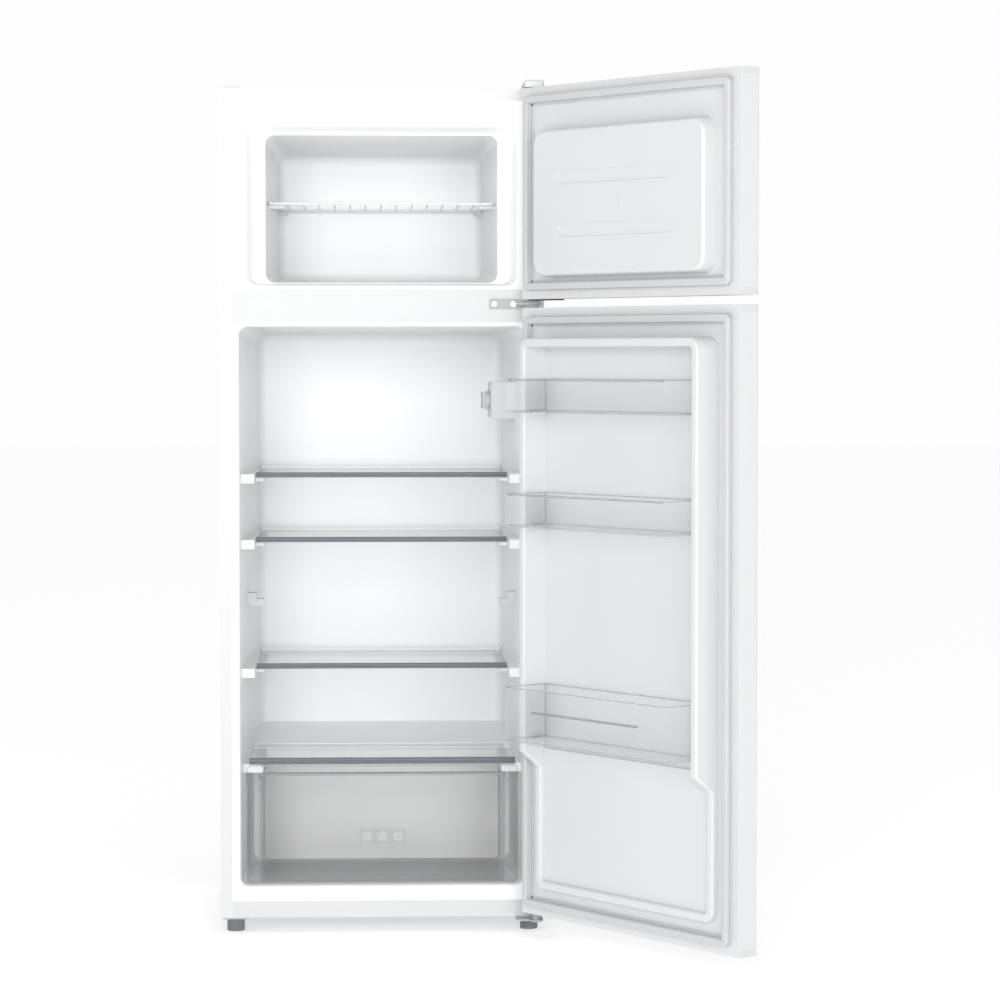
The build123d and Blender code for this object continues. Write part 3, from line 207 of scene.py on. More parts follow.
# ---------------------------------------------------------------- finishes
@dataclass(frozen=True)
class Finish:
    """What every finish has in common: a grained, slightly uneven surface.

    Attributes:
        name: The material's name.
        colour: Main colour.
        shade: Colour that the mottling drifts to.
        mottle: Share of the second colour where the mottling is strongest.
        mottle_scale: Mottling features per metre.
        roughness: Middle roughness.
        spread: How far the roughness drifts either way.
        grain_scale: Grain features per metre.
        grain: Strength of the grain's bump.
        grain_height: Height of the grain, in metres.
        wave: Strength of the slow waviness of the wall.
        metallic: 1 for bare metal.
        coat: Weight of the clear coat.
        specular: Specular level.
        glow: Strength of its own light.
    """

    name: str
    colour: Colour
    shade: Colour
    mottle: float = 0.5
    mottle_scale: float = 9.0
    roughness: float = 0.4
    spread: float = 0.05
    grain_scale: float = 900.0
    grain: float = 0.25
    grain_height: float = 0.0002
    wave: float = 0.0
    metallic: float = 0.0
    coat: float = 0.0
    specular: float = 0.5
    glow: float = 0.0

    def build(self) -> bpy.types.Material:
        """Makes the material, or returns it if it was made before."""
        known = bpy.data.materials.get(self.name)
        if known is not None:
            return known
        material = bpy.data.materials.new(self.name)
        material.use_nodes = True
        material.node_tree.nodes.clear()
        graph = Graph(material.node_tree)
        surface = self.shader(graph)
        graph.node("ShaderNodeOutputMaterial", {}, {"Surface": surface})
        material.diffuse_color = (*self.colour, 1.0)
        return material

    def base(self, graph: Graph) -> Wire:
        """Colour, drifting between the two tones."""
        drift = graph.noise(self.mottle_scale, 4.0, 0.55)
        return graph.mix_colour(drift * self.mottle, self.colour, self.shade)

    def rough(self, graph: Graph) -> Wire:
        """Roughness, drifting round its middle."""
        drift = graph.noise(self.mottle_scale * 3.1, 3.0, 0.6)
        return (self.roughness + (drift - 0.5) * (2.0 * self.spread)).clamp(0.02, 1.0)

    def normal(self, graph: Graph) -> Wire:
        """Fine grain over slow waves."""
        wave = None
        if self.wave:
            wave = graph.bump(graph.noise(5.0, 1.0), self.wave, 0.002)
        return graph.bump(graph.noise(self.grain_scale, 2.0), self.grain, self.grain_height, wave)

    def shader(self, graph: Graph) -> Wire:
        """The Principled shader of the finish."""
        return graph.node("ShaderNodeBsdfPrincipled", {}, {
            "Base Color": self.base(graph), "Roughness": self.rough(graph), "Normal": self.normal(graph),
            "Metallic": self.metallic, "Coat Weight": self.coat, "Coat Roughness": 0.12,
            "Specular IOR Level": self.specular, "Emission Color": (1.0, 1.0, 1.0, 1.0),
            "Emission Strength": self.glow})


@dataclass(frozen=True)
class PaintedSheet(Finish):
    """Stove enamel on sheet steel, with the fine ripple of sprayed paint and dulled patches."""

    def normal(self, graph: Graph) -> Wire:
        """Paint ripple at two sizes."""
        ripple = graph.bump(graph.noise(260.0, 1.0), 0.08, 0.0002)
        return graph.bump(graph.noise(self.grain_scale, 2.0), self.grain, self.grain_height, ripple)


@dataclass(frozen=True)
class BareSteel(Finish):
    """Bare metal, plated or rolled, whose colour changes from patch to patch.

    Attributes:
        spangle: Patches per metre.
    """

    spangle: float = 90.0

    def base(self, graph: Graph) -> Wire:
        """Spangled colour."""
        return graph.mix_colour(graph.cells(self.spangle) * self.mottle, self.colour, self.shade)

    def normal(self, graph: Graph) -> Wire:
        """Rolling marks drawn out along X."""
        where = graph.node("ShaderNodeTexCoord", output="Object")
        drawn = graph.node("ShaderNodeMapping", {}, {"Vector": where, "Scale": (18.0, 700.0, 700.0)})
        return graph.bump(graph.noise(1.0, 3.0, at=drawn), self.grain, self.grain_height)


@dataclass(frozen=True)
class CellFoam(Finish):
    """Blown foam: open cells of many sizes."""

    def normal(self, graph: Graph) -> Wire:
        """Cells over lumps."""
        lumps = graph.bump(graph.noise(60.0, 4.0), 0.4, 0.002)
        return graph.bump(graph.cells(self.grain_scale), self.grain, self.grain_height, lumps)


@dataclass(frozen=True)
class ClearPlate(Finish):
    """Clear plastic or glass: a thin haze that thickens where the wall is seen edge on.

    Attributes:
        haze: Share of the light that a wall stops face on.
        rim: How much more of it stops edge on.
        ior: Index of refraction.
    """

    haze: float = 0.10
    rim: float = 0.5
    ior: float = 1.49

    def cover(self, graph: Graph) -> Wire:
        """How much of what is behind it the wall hides."""
        glancing = graph.node("ShaderNodeLayerWeight", {}, {"Blend": 0.35}, output="Facing")
        flow = graph.noise(self.mottle_scale, 2.0)
        uneven = self.haze + (flow - 0.5) * (self.haze * 0.4)
        return (uneven + glancing * glancing * self.rim).clamp(0.0, 1.0)

    def shader(self, graph: Graph) -> Wire:
        """The Principled shader, thinned by its haze."""
        return graph.node("ShaderNodeBsdfPrincipled", {}, {
            "Base Color": self.base(graph), "Roughness": self.rough(graph), "Normal": self.normal(graph),
            "Alpha": self.cover(graph), "IOR": self.ior, "Coat Weight": self.coat})


class Shop(Enum):
    """The finishes that the refrigerator is made in."""

    PAINT = PaintedSheet("painted_sheet", (0.67, 0.675, 0.68), (0.65, 0.655, 0.66), 0.4, 2.5, 0.30, 0.04,
                         1300.0, 0.18, 0.00012, coat=0.1)
    # Painted light: the cabinet liner is given a lighter white than the outer paint and the door liner, to
    # make up for the shade inside the compartments.
    LINER_LIGHTENED_FOR_SHADE = Finish("liner_plastic_lightened_for_shade", (0.90, 0.905, 0.91), (0.87, 0.875, 0.88), 0.5, 6.0, 0.36, 0.06,
                   1500.0, 0.16, 0.00015, wave=0.25)
    # Painted light: the door liner is the same white plastic as the cabinet liner, made darker because the
    # key lights the open doors more.
    DOOR_LINER_DARKENED_FOR_KEY = Finish("door_liner_plastic_darkened_for_key", (0.70, 0.705, 0.715), (0.66, 0.665, 0.675), 0.5, 7.0, 0.34,
                        0.06, 1500.0, 0.16, 0.00015, wave=0.25)
    TRIM = Finish("moulded_white", (0.64, 0.645, 0.65), (0.60, 0.605, 0.61), 0.5, 12.0, 0.38, 0.06,
                  2200.0, 0.25, 0.0001)
    RIB = Finish("support_grey", (0.60, 0.61, 0.62), (0.54, 0.55, 0.56), 0.5, 12.0, 0.40, 0.06,
                 2200.0, 0.25, 0.0001)
    FROST = Finish("frosted_line", (0.62, 0.63, 0.64), (0.56, 0.57, 0.58), 0.5, 40.0, 0.55, 0.06,
                   1800.0, 0.3, 0.0001)
    EDGE = Finish("shelf_edge_grey", (0.17, 0.172, 0.195), (0.13, 0.132, 0.15), 0.5, 14.0, 0.42, 0.07,
                  2400.0, 0.35, 0.00012)
    SEAL = Finish("seal_vinyl", (0.60, 0.605, 0.61), (0.54, 0.545, 0.55), 0.6, 20.0, 0.52, 0.08,
                  700.0, 0.3, 0.0002)
    GLASS = ClearPlate("shelf_glass", (0.60, 0.66, 0.66), (0.56, 0.63, 0.63), 0.5, 4.0, 0.05, 0.02,
                       300.0, 0.02, 0.0001, haze=0.04, rim=0.22, ior=1.50)
    CLEAR = ClearPlate("clear_plastic", (0.86, 0.87, 0.88), (0.82, 0.83, 0.84), 0.5, 9.0, 0.07, 0.03,
                       120.0, 0.05, 0.0003, haze=0.03, rim=0.40, ior=1.49)
    # Painted shade: grey beads for the dark lines that refraction shows along clear edges, partly the real
    # edge-on thickness of the wall.
    CLEAR_EDGE_SHADE = ClearPlate("clear_plastic_painted_edge_shade", (0.50, 0.515, 0.54), (0.44, 0.455, 0.48), 0.5, 30.0,
                            0.15, 0.03, 400.0, 0.05, 0.0002, haze=0.34, rim=0.2, ior=1.49)
    LENS = ClearPlate("ribbed_lens", (0.85, 0.85, 0.84), (0.80, 0.80, 0.79), 0.5, 9.0, 0.25, 0.05,
                      420.0, 0.5, 0.0006, haze=0.45, rim=0.3, ior=1.49)
    BULB = Finish("frosted_bulb", (0.90, 0.89, 0.86), (0.84, 0.83, 0.80), 0.4, 60.0, 0.30, 0.05,
                  2000.0, 0.2, 0.0001)
    ZINC = BareSteel("zinc_steel", (0.60, 0.61, 0.62), (0.42, 0.43, 0.45), 0.7, 9.0, 0.34, 0.08,
                     900.0, 0.25, 0.0002, metallic=1.0)
    ALUMINIUM = BareSteel("rolled_aluminium", (0.70, 0.71, 0.72), (0.58, 0.59, 0.60), 0.6, 9.0, 0.38, 0.07,
                          900.0, 0.25, 0.0002, metallic=1.0)
    COPPER = BareSteel("copper_tube", (0.72, 0.36, 0.22), (0.42, 0.19, 0.11), 0.8, 30.0, 0.32, 0.1,
                       900.0, 0.2, 0.0002, metallic=1.0, spangle=160.0)
    ENAMEL = PaintedSheet("black_enamel", (0.022, 0.023, 0.025), (0.040, 0.040, 0.042), 0.6, 14.0, 0.30, 0.10,
                          900.0, 0.3, 0.0002, coat=0.2)
    RUBBER = Finish("black_rubber", (0.030, 0.030, 0.031), (0.055, 0.054, 0.053), 0.6, 40.0, 0.68, 0.08,
                    1400.0, 0.4, 0.0002)
    HINGE = PaintedSheet("hinge_grey", (0.42, 0.425, 0.43), (0.34, 0.345, 0.35), 0.5, 40.0, 0.36, 0.08,
                         1300.0, 0.25, 0.00015)
    FOOT = Finish("foot_grey", (0.17, 0.175, 0.18), (0.22, 0.225, 0.23), 0.5, 40.0, 0.50, 0.08,
                  1600.0, 0.35, 0.00015)
    PAN = Finish("pan_grey", (0.33, 0.335, 0.34), (0.42, 0.42, 0.42), 0.5, 20.0, 0.46, 0.08,
                 1600.0, 0.3, 0.0002)
    FOAM = CellFoam("insulating_foam", (0.80, 0.70, 0.45), (0.70, 0.58, 0.33), 0.7, 30.0, 0.85, 0.05,
                    500.0, 0.6, 0.0006)
    COATED_WIRE = Finish("coated_wire", (0.80, 0.805, 0.81), (0.74, 0.745, 0.75), 0.5, 30.0, 0.34, 0.06,
                         1500.0, 0.2, 0.0001)


def dress(node: str, finish: Shop) -> None:
    """Gives every material slot of a CAD node one finish.

    Args:
        node: The CAD node.
        finish: The finish it gets.
    """
    material = finish.value.build()
    for slot in frame["nodes"][node].material_slots:
        slot.material = material
    log.info("%s in %s", node, finish.value.name)


def swing(joint: str) -> Matrix:
    """The turn that takes a closed door to the place where it stands at rest.

    Args:
        joint: The hinge joint's name.

    Returns:
        The turn about the hinge pin.
    """
    facts = next(j for j in frame["joints"] if j["name"] == joint)
    pin = Vector(facts["pos_m"])
    turn = Matrix.Rotation(radians(-facts["range_deg"][0]), 4, Vector(facts["axis"]))
    return Matrix.Translation(pin) @ turn @ Matrix.Translation(-pin)


# ---------------------------------------------------------------- geometry node trees
class Rule(Enum):
    """The repeating rules that a geometry tree can follow."""

    WIRES = "row_of_wires"
    SWEEP = "swept_outline"
    RADIAL = "radial_bars"
    EDGES = "edge_beads"


@dataclass
class TreeMaker:
    """Builds one geometry tree and runs it to a plain mesh.

    Attributes:
        rule: Which rule the tree follows.
        inputs: Named sizes of the tree, in metres, counts as whole numbers.
        source: Mesh that the tree starts from, where its rule needs one.
    """

    rule: Rule
    inputs: dict[str, Number] = field(default_factory=dict)
    source: Optional[bpy.types.Mesh] = None

    def _edges(self, g: Graph, size: dict[str, Wire]) -> Wire:
        """A fine bead along every edge of the source mesh."""
        lines = g.node("GeometryNodeMeshToCurve", {}, {"Mesh": size["Geometry"]})
        ring = g.node("GeometryNodeCurvePrimitiveCircle", {}, {"Resolution": 6, "Radius": size["radius"]})
        return g.node("GeometryNodeCurveToMesh", {},
                      {"Curve": lines, "Profile Curve": ring, "Fill Caps": True})

    def _wires(self, g: Graph, size: dict[str, Wire]) -> Wire:
        """A row of round wires along X, each running along the row's own direction."""
        offset = g.node("ShaderNodeCombineXYZ", {}, {0: size["pitch"]})
        points = g.node("GeometryNodeMeshLine", {"mode": "OFFSET"},
                        {"Count": size["count"], "Offset": offset})
        end = g.node("ShaderNodeCombineXYZ", {}, {1: size["run_y"], 2: size["run_z"]})
        line = g.node("GeometryNodeCurvePrimitiveLine", {}, {"Start": (0.0, 0.0, 0.0), "End": end})
        ring = g.node("GeometryNodeCurvePrimitiveCircle", {}, {"Resolution": 8, "Radius": size["radius"]})
        wire = g.node("GeometryNodeCurveToMesh", {},
                      {"Curve": line, "Profile Curve": ring, "Fill Caps": True})
        return g.node("GeometryNodeInstanceOnPoints", {}, {"Points": points, "Instance": wire})

    def _sweep(self, g: Graph, size: dict[str, Wire]) -> Wire:
        """A rounded bar swept round a rounded rectangle in the XY plane."""
        path = g.node("GeometryNodeCurvePrimitiveQuadrilateral", {"mode": "RECTANGLE"},
                      {"Width": size["width"], "Height": size["height"]})
        path = g.node("GeometryNodeFilletCurve", {"mode": "POLY"},
                      {"Curve": path, "Radius": size["corner"], "Count": 6})
        bar = g.node("GeometryNodeCurvePrimitiveQuadrilateral", {"mode": "RECTANGLE"},
                     {"Width": size["bar_w"], "Height": size["bar_h"]})
        bar = g.node("GeometryNodeFilletCurve", {"mode": "POLY"},
                     {"Curve": bar, "Radius": size["bar_r"], "Count": 4})
        return g.node("GeometryNodeCurveToMesh", {}, {"Curve": path, "Profile Curve": bar})

    def _radial(self, g: Graph, size: dict[str, Wire]) -> Wire:
        """Small rounded bars set round a circle in the XY plane, pointing at its middle."""
        ring = g.node("GeometryNodeMeshCircle", {"fill_type": "NONE"},
                      {"Vertices": size["count"], "Radius": size["ring"]})
        place = g.node("GeometryNodeInputPosition")
        turn = g.node("FunctionNodeAlignRotationToVector", {"axis": "X"}, {"Vector": place})
        bar = g.node("GeometryNodeMeshCube", {}, {"Size": g.node("ShaderNodeCombineXYZ", {}, {
            0: size["bar_l"], 1: size["bar_w"], 2: size["bar_h"]})})
        return g.node("GeometryNodeInstanceOnPoints", {}, {"Points": ring, "Instance": bar, "Rotation": turn})

    def run(self, name: str, finish: Shop) -> bpy.types.Mesh:
        """Runs the tree.

        Args:
            name: Name of the mesh.
            finish: The finish that the tree sets.

        Returns:
            The plain mesh, about the tree's own origin.
        """
        tree = bpy.data.node_groups.new(f"{self.rule.value}_{name}", "GeometryNodeTree")
        tree.interface.new_socket("Geometry", in_out="OUTPUT", socket_type="NodeSocketGeometry")
        tree.interface.new_socket("Geometry", in_out="INPUT", socket_type="NodeSocketGeometry")
        for key, value in self.inputs.items():
            kind = "NodeSocketInt" if isinstance(value, int) else "NodeSocketFloat"
            tree.interface.new_socket(key, in_out="INPUT", socket_type=kind)
        g = Graph(tree)
        entry = tree.nodes.new("NodeGroupInput")
        size = {key: Wire(g, entry.outputs[key]) for key in ("Geometry", *self.inputs)}
        rules = {Rule.WIRES: self._wires, Rule.SWEEP: self._sweep, Rule.RADIAL: self._radial,
                 Rule.EDGES: self._edges}
        body = rules[self.rule](g, size)
        real = g.node("GeometryNodeRealizeInstances", {}, {"Geometry": body})
        real = g.node("GeometryNodeSetShadeSmooth", {}, {"Geometry": real, "Shade Smooth": True})
        real = g.node("GeometryNodeSetMaterial", {}, {"Geometry": real, "Material": finish.value.build()})
        g.node("NodeGroupOutput", {}, {"Geometry": real})
        carrier = bpy.data.objects.new(name, self.source or bpy.data.meshes.new(name))
        bpy.context.scene.collection.objects.link(carrier)
        modifier = carrier.modifiers.new(self.rule.value, "NODES")
        modifier.node_group = tree
        for item in tree.interface.items_tree:
            if item.in_out == "INPUT" and item.name in self.inputs:
                modifier[item.identifier] = self.inputs[item.name]
        depsgraph = bpy.context.evaluated_depsgraph_get()
        mesh = bpy.data.meshes.new_from_object(carrier.evaluated_get(depsgraph))
        carrier.modifiers.clear()
        bpy.data.objects.remove(carrier)
        bpy.data.node_groups.remove(tree)
        return mesh


def crease_lines(node: str, angle: float = 35.0, weld: float = 0.00002,
                 shortest: float = 0.0004) -> bpy.types.Mesh:
    """The creases of a CAD node as a mesh of edges.

    Args:
        node: The CAD node.
        angle: Least turn between two faces, in degrees.
        weld: Points nearer than this are one point.
        shortest: Shorter creases are left out.

    Returns:
        A mesh with edges and no faces.
    """
    shape = bmesh.new()
    shape.from_mesh(frame["nodes"][node].data)
    bmesh.ops.remove_doubles(shape, verts=shape.verts, dist=weld)
    creases = [e for e in shape.edges if len(e.link_faces) == 2
               and e.calc_face_angle(0.0) > radians(angle) and e.calc_length() > shortest]
    ends = sorted({v.index for e in creases for v in e.verts})
    order = {index: k for k, index in enumerate(ends)}
    shape.verts.ensure_lookup_table()
    lines = bpy.data.meshes.new(f"{node}_creases")
    lines.from_pydata([shape.verts[i].co[:] for i in ends],
                      [(order[e.verts[0].index], order[e.verts[1].index]) for e in creases], [])
    shape.free()
    return lines


def join(meshes: Sequence[bpy.types.Mesh]) -> bpy.types.Mesh:
    """Joins meshes into the first one.

    Args:
        meshes: Meshes in their final places.

    Returns:
        One mesh.
    """
    whole = bmesh.new()
    for mesh in meshes:
        whole.from_mesh(mesh)
    bmesh.ops.recalc_face_normals(whole, faces=whole.faces)
    whole.to_mesh(meshes[0])
    whole.free()
    return meshes[0]


def seat(mesh: bpy.types.Mesh, matrix: Matrix) -> bpy.types.Mesh:
    """Puts a place into a mesh.

    Args:
        mesh: The mesh.
        matrix: Its place.

    Returns:
        The same mesh.
    """
    mesh.transform(matrix)
    return mesh


def piece(name: str, mesh: bpy.types.Mesh, body: str, slot: str, finish: Shop, *stands_for: str,
          smooth: float = 40.0) -> bpy.types.Object:
    """Adds a finished piece to the refrigerator.

    Args:
        name: The piece's name.
        mesh: Its mesh, in place.
        body: The CAD body it rides on.
        slot: The record's material slot; not used.
        finish: Its finish.
        stands_for: CAD nodes that it replaces.
        smooth: Edges sharper than this many degrees stay sharp.

    Returns:
        The object.
    """
    mesh.name = name
    mesh.materials.clear()
    mesh.materials.append(finish.value.build())
    for polygon in mesh.polygons:
        polygon.material_index = 0
        polygon.use_smooth = True
    mesh.set_sharp_from_angle(angle=radians(smooth))
    made = bpy.data.objects.new(name, mesh)
    bpy.context.scene.collection.objects.link(made)
    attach(made, body)
    if stands_for:
        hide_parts(*stands_for)
    log.info("%s rides %s, %d faces", name, body, len(mesh.polygons))
    return made


# ---------------------------------------------------------------- sub-assemblies
@dataclass
class Cabinet:
    """Painted shell, liners, hinges, rail and feet.

    Attributes:
        painted: Nodes in the cabinet's paint.
        lined: Nodes of liner plastic.
        trimmed: Nodes of moulded white plastic.
        zinc: Nodes of zinc plated steel.
        hinges: Nodes in the hinges' grey paint.
        feet: The feet.
    """

    painted: tuple[str, ...] = ("outer_wrapper", "hinge_covers")
    lined: tuple[str, ...] = ("freezer_liner", "fridge_liner")
    trimmed: tuple[str, ...] = ("mullion_trim", "front_rail", "door_switch", "door_switch_button")
    zinc: tuple[str, ...] = ("rear_panel", "base_sheet", "base_tray", "hinge_screws")
    hinges: tuple[str, ...] = ("top_hinge", "middle_hinge", "bottom_hinge", "left_foot_plate")
    feet: tuple[str, ...] = ("front_foot_left", "front_foot_right", "rear_feet")

    def dress(self) -> None:
        """Dresses the CAD nodes."""
        choice = {Shop.PAINT: self.painted, Shop.LINER_LIGHTENED_FOR_SHADE: self.lined, Shop.TRIM: self.trimmed,
                  Shop.ZINC: self.zinc, Shop.HINGE: self.hinges, Shop.FOOT: self.feet}
        for finish, nodes in choice.items():
            for node in nodes:
                dress(node, finish)
        dress("cabinet_insulation", Shop.FOAM)
        dress("shelf_supports", Shop.RIB)


@dataclass
class WireShelf:
    """The freezer's coated wire shelf.

    Attributes:
        rod: Radius of the frame rods.
        wire: Radius of the cross wires.
        pitch: Distance between the cross wires.
        corner: Radius of the frame's corners.
        taper: How much nearer the middle each side of the frame is at the back.
    """

    rod: float = 0.0022
    wire: float = 0.0014
    pitch: float = 0.027
    corner: float = 0.010
    taper: float = 0.011

    def build(self) -> None:
        """Makes the shelf in place of its CAD node."""
        low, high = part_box("freezer_shelf")
        y0, y1 = low.y + self.rod, high.y - self.rod
        z = low.z + self.rod
        count = 2 * int((high.x - self.rod) / self.pitch) + 1
        x0 = -(count - 1) / 2 * self.pitch
        wires = TreeMaker(Rule.WIRES, {"count": count, "pitch": self.pitch, "run_y": y1 - y0, "run_z": 0.0,
                                       "radius": self.wire}).run("cross_wires", Shop.COATED_WIRE)
        seat(wires, Matrix.Translation((x0, y0, z + self.rod)))
        frame_rods = self._rods(high.x - self.rod, y0, y1, z)
        piece("freezer_wire_shelf", join([wires, frame_rods]), "freezer_shelf", "freezer_shelf",
              Shop.COATED_WIRE, "freezer_shelf")

    def _rods(self, half: float, y0: float, y1: float, z: float) -> bpy.types.Mesh:
        """Frame rod, bent round its corners.

        Args:
            half: Half-width at the front.
            y0: Front.
            y1: Back.
            z: Height.

        Returns:
            The frame's mesh.
        """
        curve = bpy.data.curves.new("shelf_frame", "CURVE")
        curve.dimensions = "3D"
        curve.bevel_depth = self.rod
        curve.bevel_resolution = 3
        spline = curve.splines.new("POLY")
        corner, points = self.corner, []
        back = half - self.taper
        for cx, cy, start in ((half, y0, -90), (back, y1, 0), (-back, y1, 90), (-half, y0, 180)):
            ax = cx - corner if cx > 0 else cx + corner
            ay = cy + corner if cy == y0 else cy - corner
            for k in range(6):
                turn = radians(start + 90 * k / 5)
                points.append((ax + corner * cos(turn), ay + corner * sin(turn), z))
        spline.points.add(len(points) - 1)
        for point, place in zip(spline.points, points):
            point.co = (*place, 1.0)
        spline.use_cyclic_u = True
        holder = bpy.data.objects.new("shelf_frame", curve)
        mesh = bpy.data.meshes.new_from_object(holder)
        bpy.data.objects.remove(holder)
        return mesh


@dataclass(frozen=True)
class SealBar:
    """One of the bars that a door seal is made of.

    Attributes:
        inset: Its outer edge to the seal's outer edge.
        width: Its width.
        middle: Its middle, as a share of the seal's depth.
        height: Its height, as a share of the seal's depth.
        edge: Radius of its edges.
    """

    inset: float
    width: float
    middle: float
    height: float
    edge: float


@dataclass
class Door:
    """One of the two doors, with its skin, inner panel, caps and seal.

    Attributes:
        name: Body name of the door.
        joint: Its hinge joint.
        bars: The seal's foot, two folds and magnet strip.
        corner: Radius of the seal's corners.
    """

    name: str
    joint: str
    bars: tuple[SealBar, ...] = (
        SealBar(0.0, 0.018, 0.08, 0.16, 0.0006), SealBar(0.0035, 0.0100, 0.30, 0.30, 0.0012),
        SealBar(0.0020, 0.0118, 0.52, 0.20, 0.0010), SealBar(0.0010, 0.012, 0.80, 0.38, 0.0018))
    corner: float = 0.004

    def dress(self) -> None:
        """Dresses the CAD nodes."""
        for part, finish in (("skin", Shop.PAINT), ("end_caps", Shop.TRIM), ("panel", Shop.DOOR_LINER_DARKENED_FOR_KEY),
                             ("foam", Shop.FOAM), ("stop", Shop.ENAMEL)):
            dress(f"{self.name}_{part}", finish)

    def build(self) -> None:
        """Makes the seal: a foot, a folded bellows and a rounded magnet strip."""
        (x0, y0, z0), (x1, y1, z1) = self._closed_box()
        width, height, deep = x1 - x0, z1 - z0, y1 - y0
        upright = Matrix.Rotation(pi / 2, 4, "X")
        made = []
        for bar in self.bars:
            tree = TreeMaker(Rule.SWEEP, {
                "width": width - 2 * bar.inset - bar.width, "height": height - 2 * bar.inset - bar.width,
                "corner": self.corner, "bar_w": bar.width, "bar_h": bar.height * deep, "bar_r": bar.edge})
            mesh = tree.run(f"{self.name}_bar_{len(made)}", Shop.SEAL)
            centre = Vector(((x0 + x1) / 2, y0 + bar.middle * deep, (z0 + z1) / 2))
            made.append(seat(mesh, swing(self.joint) @ Matrix.Translation(centre) @ upright))
        piece(f"{self.name}_seal", join(made), self.name, f"{self.name}_gasket", Shop.SEAL,
              f"{self.name}_gasket", smooth=60.0)

    def _closed_box(self) -> tuple[Vector, Vector]:
        """Corners of the seal with the door closed."""
        back = swing(self.joint).inverted()
        points = [back @ v.co for v in frame["nodes"][f"{self.name}_gasket"].data.vertices]
        low = Vector([min(p[i] for p in points) for i in range(3)])
        high = Vector([max(p[i] for p in points) for i in range(3)])
        return low, high


@dataclass
class GlassShelf:
    """A glass pane in two moulded trims.

    Attributes:
        name: The shelf's body.
        front: Depth of the front trim.
        rear: Depth of the rear trim.
        groove: Depth of the groove along the front trim's face.
        edge: Radius of the trims' edges.
        lip: How far the trims stand over the pane.
    """

    name: str
    front: float = 0.013
    rear: float = 0.009
    groove: float = 0.0009
    edge: float = 0.0012
    lip: float = 0.0015

    def dress(self) -> None:
        """Dresses the pane."""
        dress(f"{self.name}_glass", Shop.GLASS)

    def build(self) -> None:
        """Makes both trims in place of their CAD node."""
        low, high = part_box(f"{self.name}_trims")
        pane_low, pane_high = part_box(f"{self.name}_glass")
        half = high.x
        top = pane_high.z + self.lip
        bottom = low.z
        y = low.y
        r, g = self.edge, self.groove
        third = (top - bottom) / 3
        lap = pane_low.y
        face = [(y + r, top), (y + 0.4 * r, top - 0.3 * r), (y, top - r), (y, top - third),
                (y + g, top - third - g), (y + g, bottom + third + g), (y, bottom + third),
                (y, bottom + r), (y + r, bottom)]
        front = face + [(y + self.front, bottom), (y + self.front, pane_low.z), (lap, pane_low.z),
                        (lap, pane_high.z), (y + self.front, pane_high.z), (y + self.front, top)]
        piece(f"{self.name}_front_trim", self._bar(front, half), self.name, f"{self.name}_trims", Shop.EDGE,
              f"{self.name}_trims", smooth=35.0)
        y1 = high.y
        rear = [(y1, bottom), (y1, high.z - r), (y1 - r, high.z), (y1 - self.rear / 2, high.z),
                (y1 - self.rear, top), (y1 - self.rear, pane_high.z), (pane_high.y, pane_high.z),
                (pane_high.y, pane_low.z), (y1 - self.rear, pane_low.z), (y1 - self.rear, bottom)]
        piece(f"{self.name}_rear_trim", self._bar(rear, half), self.name, f"{self.name}_trims", Shop.LINER_LIGHTENED_FOR_SHADE,
              f"{self.name}_trims", smooth=35.0)

    @staticmethod
    def _bar(outline: Sequence[tuple[float, float]], half: float) -> bpy.types.Mesh:
        """A moulded bar across the shelf.

        Args:
            outline: Section as (y, z) points.
            half: Half the bar's length.

        Returns:
            The bar's mesh.
        """
        n = len(outline)
        points = [(x, y, z) for x in (-half, half) for y, z in outline]
        faces = [(i, (i + 1) % n, n + (i + 1) % n, n + i) for i in range(n)]
        faces += [tuple(range(n)), tuple(range(2 * n - 1, n - 1, -1))]
        mesh = bpy.data.meshes.new("bar")
        mesh.from_pydata(points, [], faces)
        return join([mesh])


class Mark(Enum):
    """The simple signs on the drawer's front."""

    LEAF = "leaf"
    DROP = "drop"
    ROUND = "round"


